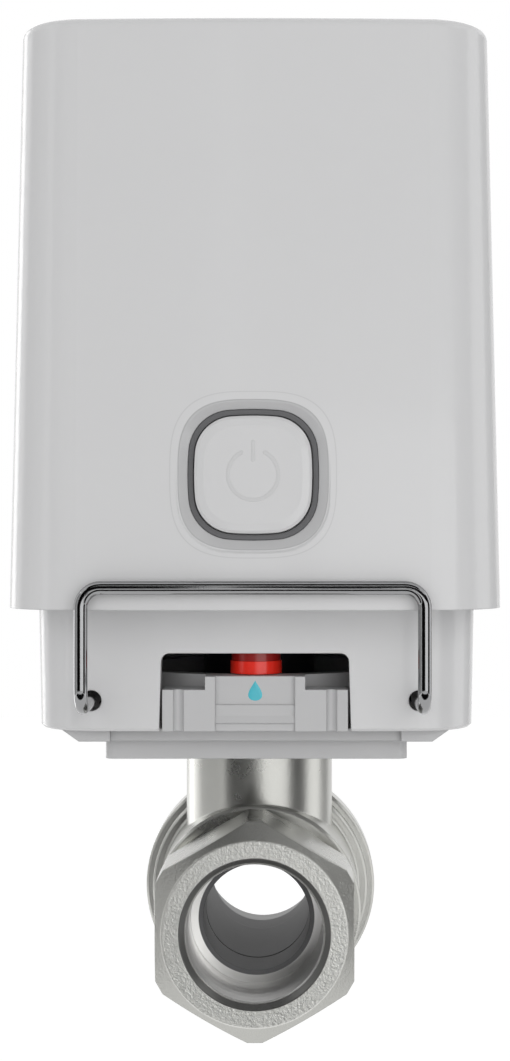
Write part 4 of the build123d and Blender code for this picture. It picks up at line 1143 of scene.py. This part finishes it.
@dataclass
class Studio:
    """Floor, surroundings, flags, lamps and camera.

    Attributes:
        floor_z: Height of the floor.
        floor_half: Half the side of the floor.
        floor_matt: Share of the floor's white that comes from the lamps and so can hold a shadow.
        floor_glow: White that the floor shows by itself.
        floor_grey: Grey of the floor for matt light.
        fill_grey: Grey of the surroundings for matt light.
        flag_grey: Colour of the dark cards.
        flags: The dark cards.
        lamps: The softboxes.
        camera_place: Where the camera stands.
        lens: Focal length in millimetres.
        shift: Sideways and upward shift of the frame.
        clip: Nearest and farthest distance that the camera sees.
    """

    floor_z: float = -0.30
    floor_half: float = 3.0
    floor_matt: float = 0.16
    floor_glow: float = 0.94
    floor_grey: float = 0.8
    fill_grey: float = 0.42
    flag_grey: float = 0.01
    flags: tuple[Flag, ...] = (
        Flag("flag_front_left", (-0.58, -1.04, 0.34), (0.0, 0.02, 0.34), 1.12, 1.24),
        Flag("flag_front_right", (0.46, -1.12, 0.34), (0.0, 0.02, 0.34), 0.98, 1.24),
        # This one stands before the front lamp and hides its upper half from mirrors.
        Flag("flag_front_high", (0.387, -0.825, 0.44), (0.0, 0.02, 0.44), 0.95, 0.54),
        Flag("flag_right", (0.98, -0.42, 0.16), (0.0, 0.02, 0.16), 0.62, 0.90),
        Flag("flag_back_right", (0.86, 0.62, 0.10), (0.0, 0.02, 0.10), 0.44, 0.80),
        Flag("flag_left", (-1.06, -0.04, 0.20), (0.0, 0.02, 0.20), 0.86, 0.96),
        Flag("flag_top", (0.0, -0.60, 0.98), (0.0, 0.02, 0.05), 1.7, 0.60),
        Flag("flag_low", (0.0, -0.50, -0.28), (0.0, -0.50, 0.10), 1.5, 0.45),
    )
    lamps: tuple[Softbox, ...] = (
        Softbox("front_right", (0.44, -0.94, 0.26), (0.0, 0.02, 0.05), 0.86, 1.05, 4.6),
        Softbox("fill_left", (-0.36, -0.98, 0.24), (0.0, 0.02, 0.05), 0.80, 0.90, 2.4, False),
        Softbox("side_left", (-0.88, 0.06, 0.15), (0.0, 0.02, 0.06), 0.9, 0.9, 1.5),
        Softbox("edge_left", (-0.42, 0.40, 0.10), (0.0, 0.02, 0.06), 0.16, 0.7, 0.7),
        Softbox("side_right", (0.80, 0.26, 0.15), (0.0, 0.02, 0.06), 0.9, 0.9, 1.1),
        Softbox("top_back", (0.0, 0.45, 0.75), (0.0, 0.02, 0.05), 0.6, 0.4, 0.25),
    )
    camera_place: Place = (6.41 * MM, -236.7 * MM, 55.06 * MM)
    lens: float = 59.4
    shift: tuple[float, float] = (-0.0443, -0.0042)
    clip: tuple[float, float] = (0.01, 20.0)

    def build(self) -> None:
        """Sets up everything round the object."""
        self.floor()
        self.hang_flags()
        self.sky()
        for lamp in self.lamps:
            self.hang(lamp)
        self.camera()
        bpy.context.scene.view_settings.view_transform = "Standard"

    def seen_directly(self, graph: Graph) -> bpy.types.NodeSocket:
        """1 for rays that show the background: from the camera, a mirror or a clear piece.

        Args:
            graph: Graph of the material or the world.

        Returns:
            The mask's socket.
        """
        rays = graph.node("ShaderNodeLightPath")
        shown = graph.math("MAXIMUM", rays.outputs["Is Camera Ray"], rays.outputs["Is Glossy Ray"])
        return graph.math("MAXIMUM", shown, rays.outputs["Is Transmission Ray"])

    def card(self, name: str, width: float, height: float, place: Place, facing: Vector,
             material: bpy.types.Material) -> bpy.types.Object:
        """Adds a flat stage piece.

        Args:
            name: Its name.
            width: Its width.
            height: Its height.
            place: Its middle.
            facing: Direction that its front faces.
            material: Its material.

        Returns:
            The card.
        """
        corners = np.array([[-1, -1, 0], [1, -1, 0], [1, 1, 0], [-1, 1, 0]])
        corners = corners * [width / 2, height / 2, 0]
        mesh = bpy.data.meshes.new(name)
        mesh.from_pydata(corners.tolist(), [], [(0, 1, 2, 3)])
        mesh.materials.append(material)
        card = bpy.data.objects.new(name, mesh)
        self.put(card, place, facing, "Z")
        return card

    def put(self, thing: bpy.types.Object, place: Place, facing: Vector, front: str) -> None:
        """Puts a card or a lamp in its place.

        Args:
            thing: What is placed.
            place: Where its middle goes.
            facing: Direction that its front faces.
            front: Its own axis that is its front.
        """
        thing.location = place
        thing.rotation_euler = facing.to_track_quat(front, "Y").to_euler()
        bpy.context.scene.collection.objects.link(thing)

    def floor(self) -> None:
        """A pale floor that keeps the object's shadow.

        It lies well under the object, which is held by its pipe.
        """
        material, graph = blank_material("pale_floor")
        seen = self.seen_directly(graph)
        matt = graph.node("ShaderNodeBsdfDiffuse")
        grey = graph.blend(seen, self.floor_grey, self.floor_matt)
        tone = graph.node("ShaderNodeCombineColor")
        for socket in tone.inputs:
            graph.feed(socket, grey)
        graph.feed(matt.inputs["Color"], tone.outputs[0])
        white = graph.node("ShaderNodeEmission")
        graph.feed(white.inputs["Strength"], graph.math("MULTIPLY", seen, self.floor_glow))
        mix = graph.node("ShaderNodeAddShader")
        graph.feed(mix.inputs[0], matt.outputs[0])
        graph.feed(mix.inputs[1], white.outputs[0])
        graph.feed(graph.node("ShaderNodeOutputMaterial").inputs["Surface"], mix.outputs[0])
        side = 2 * self.floor_half
        self.card("floor", side, side, (0.0, 0.0, self.floor_z), Vector((0.0, 0.0, 1.0)), material)

    def hang_flags(self) -> None:
        """Dark cards that only bright surfaces show.

        They cast no shadow and no camera sees them.
        """
        material, graph = blank_material("black_flag")
        black = graph.node("ShaderNodeBsdfDiffuse")
        black.inputs["Color"].default_value = (*[self.flag_grey] * 3, 1.0)
        graph.feed(graph.node("ShaderNodeOutputMaterial").inputs["Surface"], black.outputs[0])
        for flag in self.flags:
            facing = Vector(flag.aim) - Vector(flag.place)
            hung = self.card(flag.name, flag.width, flag.height, flag.place, facing, material)
            hung.visible_camera = False
            hung.visible_diffuse = False
            hung.visible_shadow = False
            hung.visible_transmission = False

    def sky(self) -> None:
        """Surroundings that are white where they are seen and soft grey as a light."""
        world = bpy.data.worlds.new("studio")
        bpy.context.scene.world = world
        world.use_nodes = True
        world.node_tree.nodes.clear()
        graph = Graph(world.node_tree)
        ground = graph.node("ShaderNodeBackground")
        ground.inputs["Color"].default_value = (1.0, 1.0, 1.0, 1.0)
        strength = graph.blend(self.seen_directly(graph), self.fill_grey, 1.0)
        graph.feed(ground.inputs["Strength"], strength)
        graph.feed(graph.node("ShaderNodeOutputWorld").inputs["Surface"], ground.outputs[0])

    def hang(self, lamp: Softbox) -> None:
        """Adds a softbox.

        Args:
            lamp: Its place, size and power.
        """
        data = bpy.data.lights.new(lamp.name, "AREA")
        data.shape = "RECTANGLE"
        data.size, data.size_y = lamp.width, lamp.height
        data.energy = lamp.power
        light = bpy.data.objects.new(lamp.name, data)
        light.visible_glossy = lamp.mirrored
        self.put(light, lamp.place, Vector(lamp.aim) - Vector(lamp.place), "-Z")

    def camera(self) -> None:
        """Sets the camera level, looking along the pipe."""
        data = bpy.data.cameras.new("camera")
        data.lens = self.lens
        data.shift_x, data.shift_y = self.shift
        data.clip_start, data.clip_end = self.clip
        camera = bpy.data.objects.new("camera", data)
        camera.location = self.camera_place
        camera.rotation_euler = (math.pi / 2, 0.0, 0.0)
        bpy.context.scene.collection.objects.link(camera)
        bpy.context.scene.camera = camera


def main() -> None:
    """Builds the looks in order."""
    logging.basicConfig(level=logging.INFO, format="%(name)s: %(message)s")
    shop = Workshop()
    groups = [
        Valve(), Bracket(), Housing(), Cover(), Button(), WireLock(), GearTrain(), Electronics(),
        PowerPack(),
    ]
    for group in groups:
        group.dress(shop)
        added = [piece.name for piece in group.build(shop)]
        LOG.info("%s: dressed %s", type(group).__name__, ", ".join(group.finishes))
        LOG.info("%s: added %s", type(group).__name__, ", ".join(added) or "nothing")
    Studio().build()
    LOG.info("studio ready, %d materials", len(shop.made))


if __name__ == "__main__":
    main()
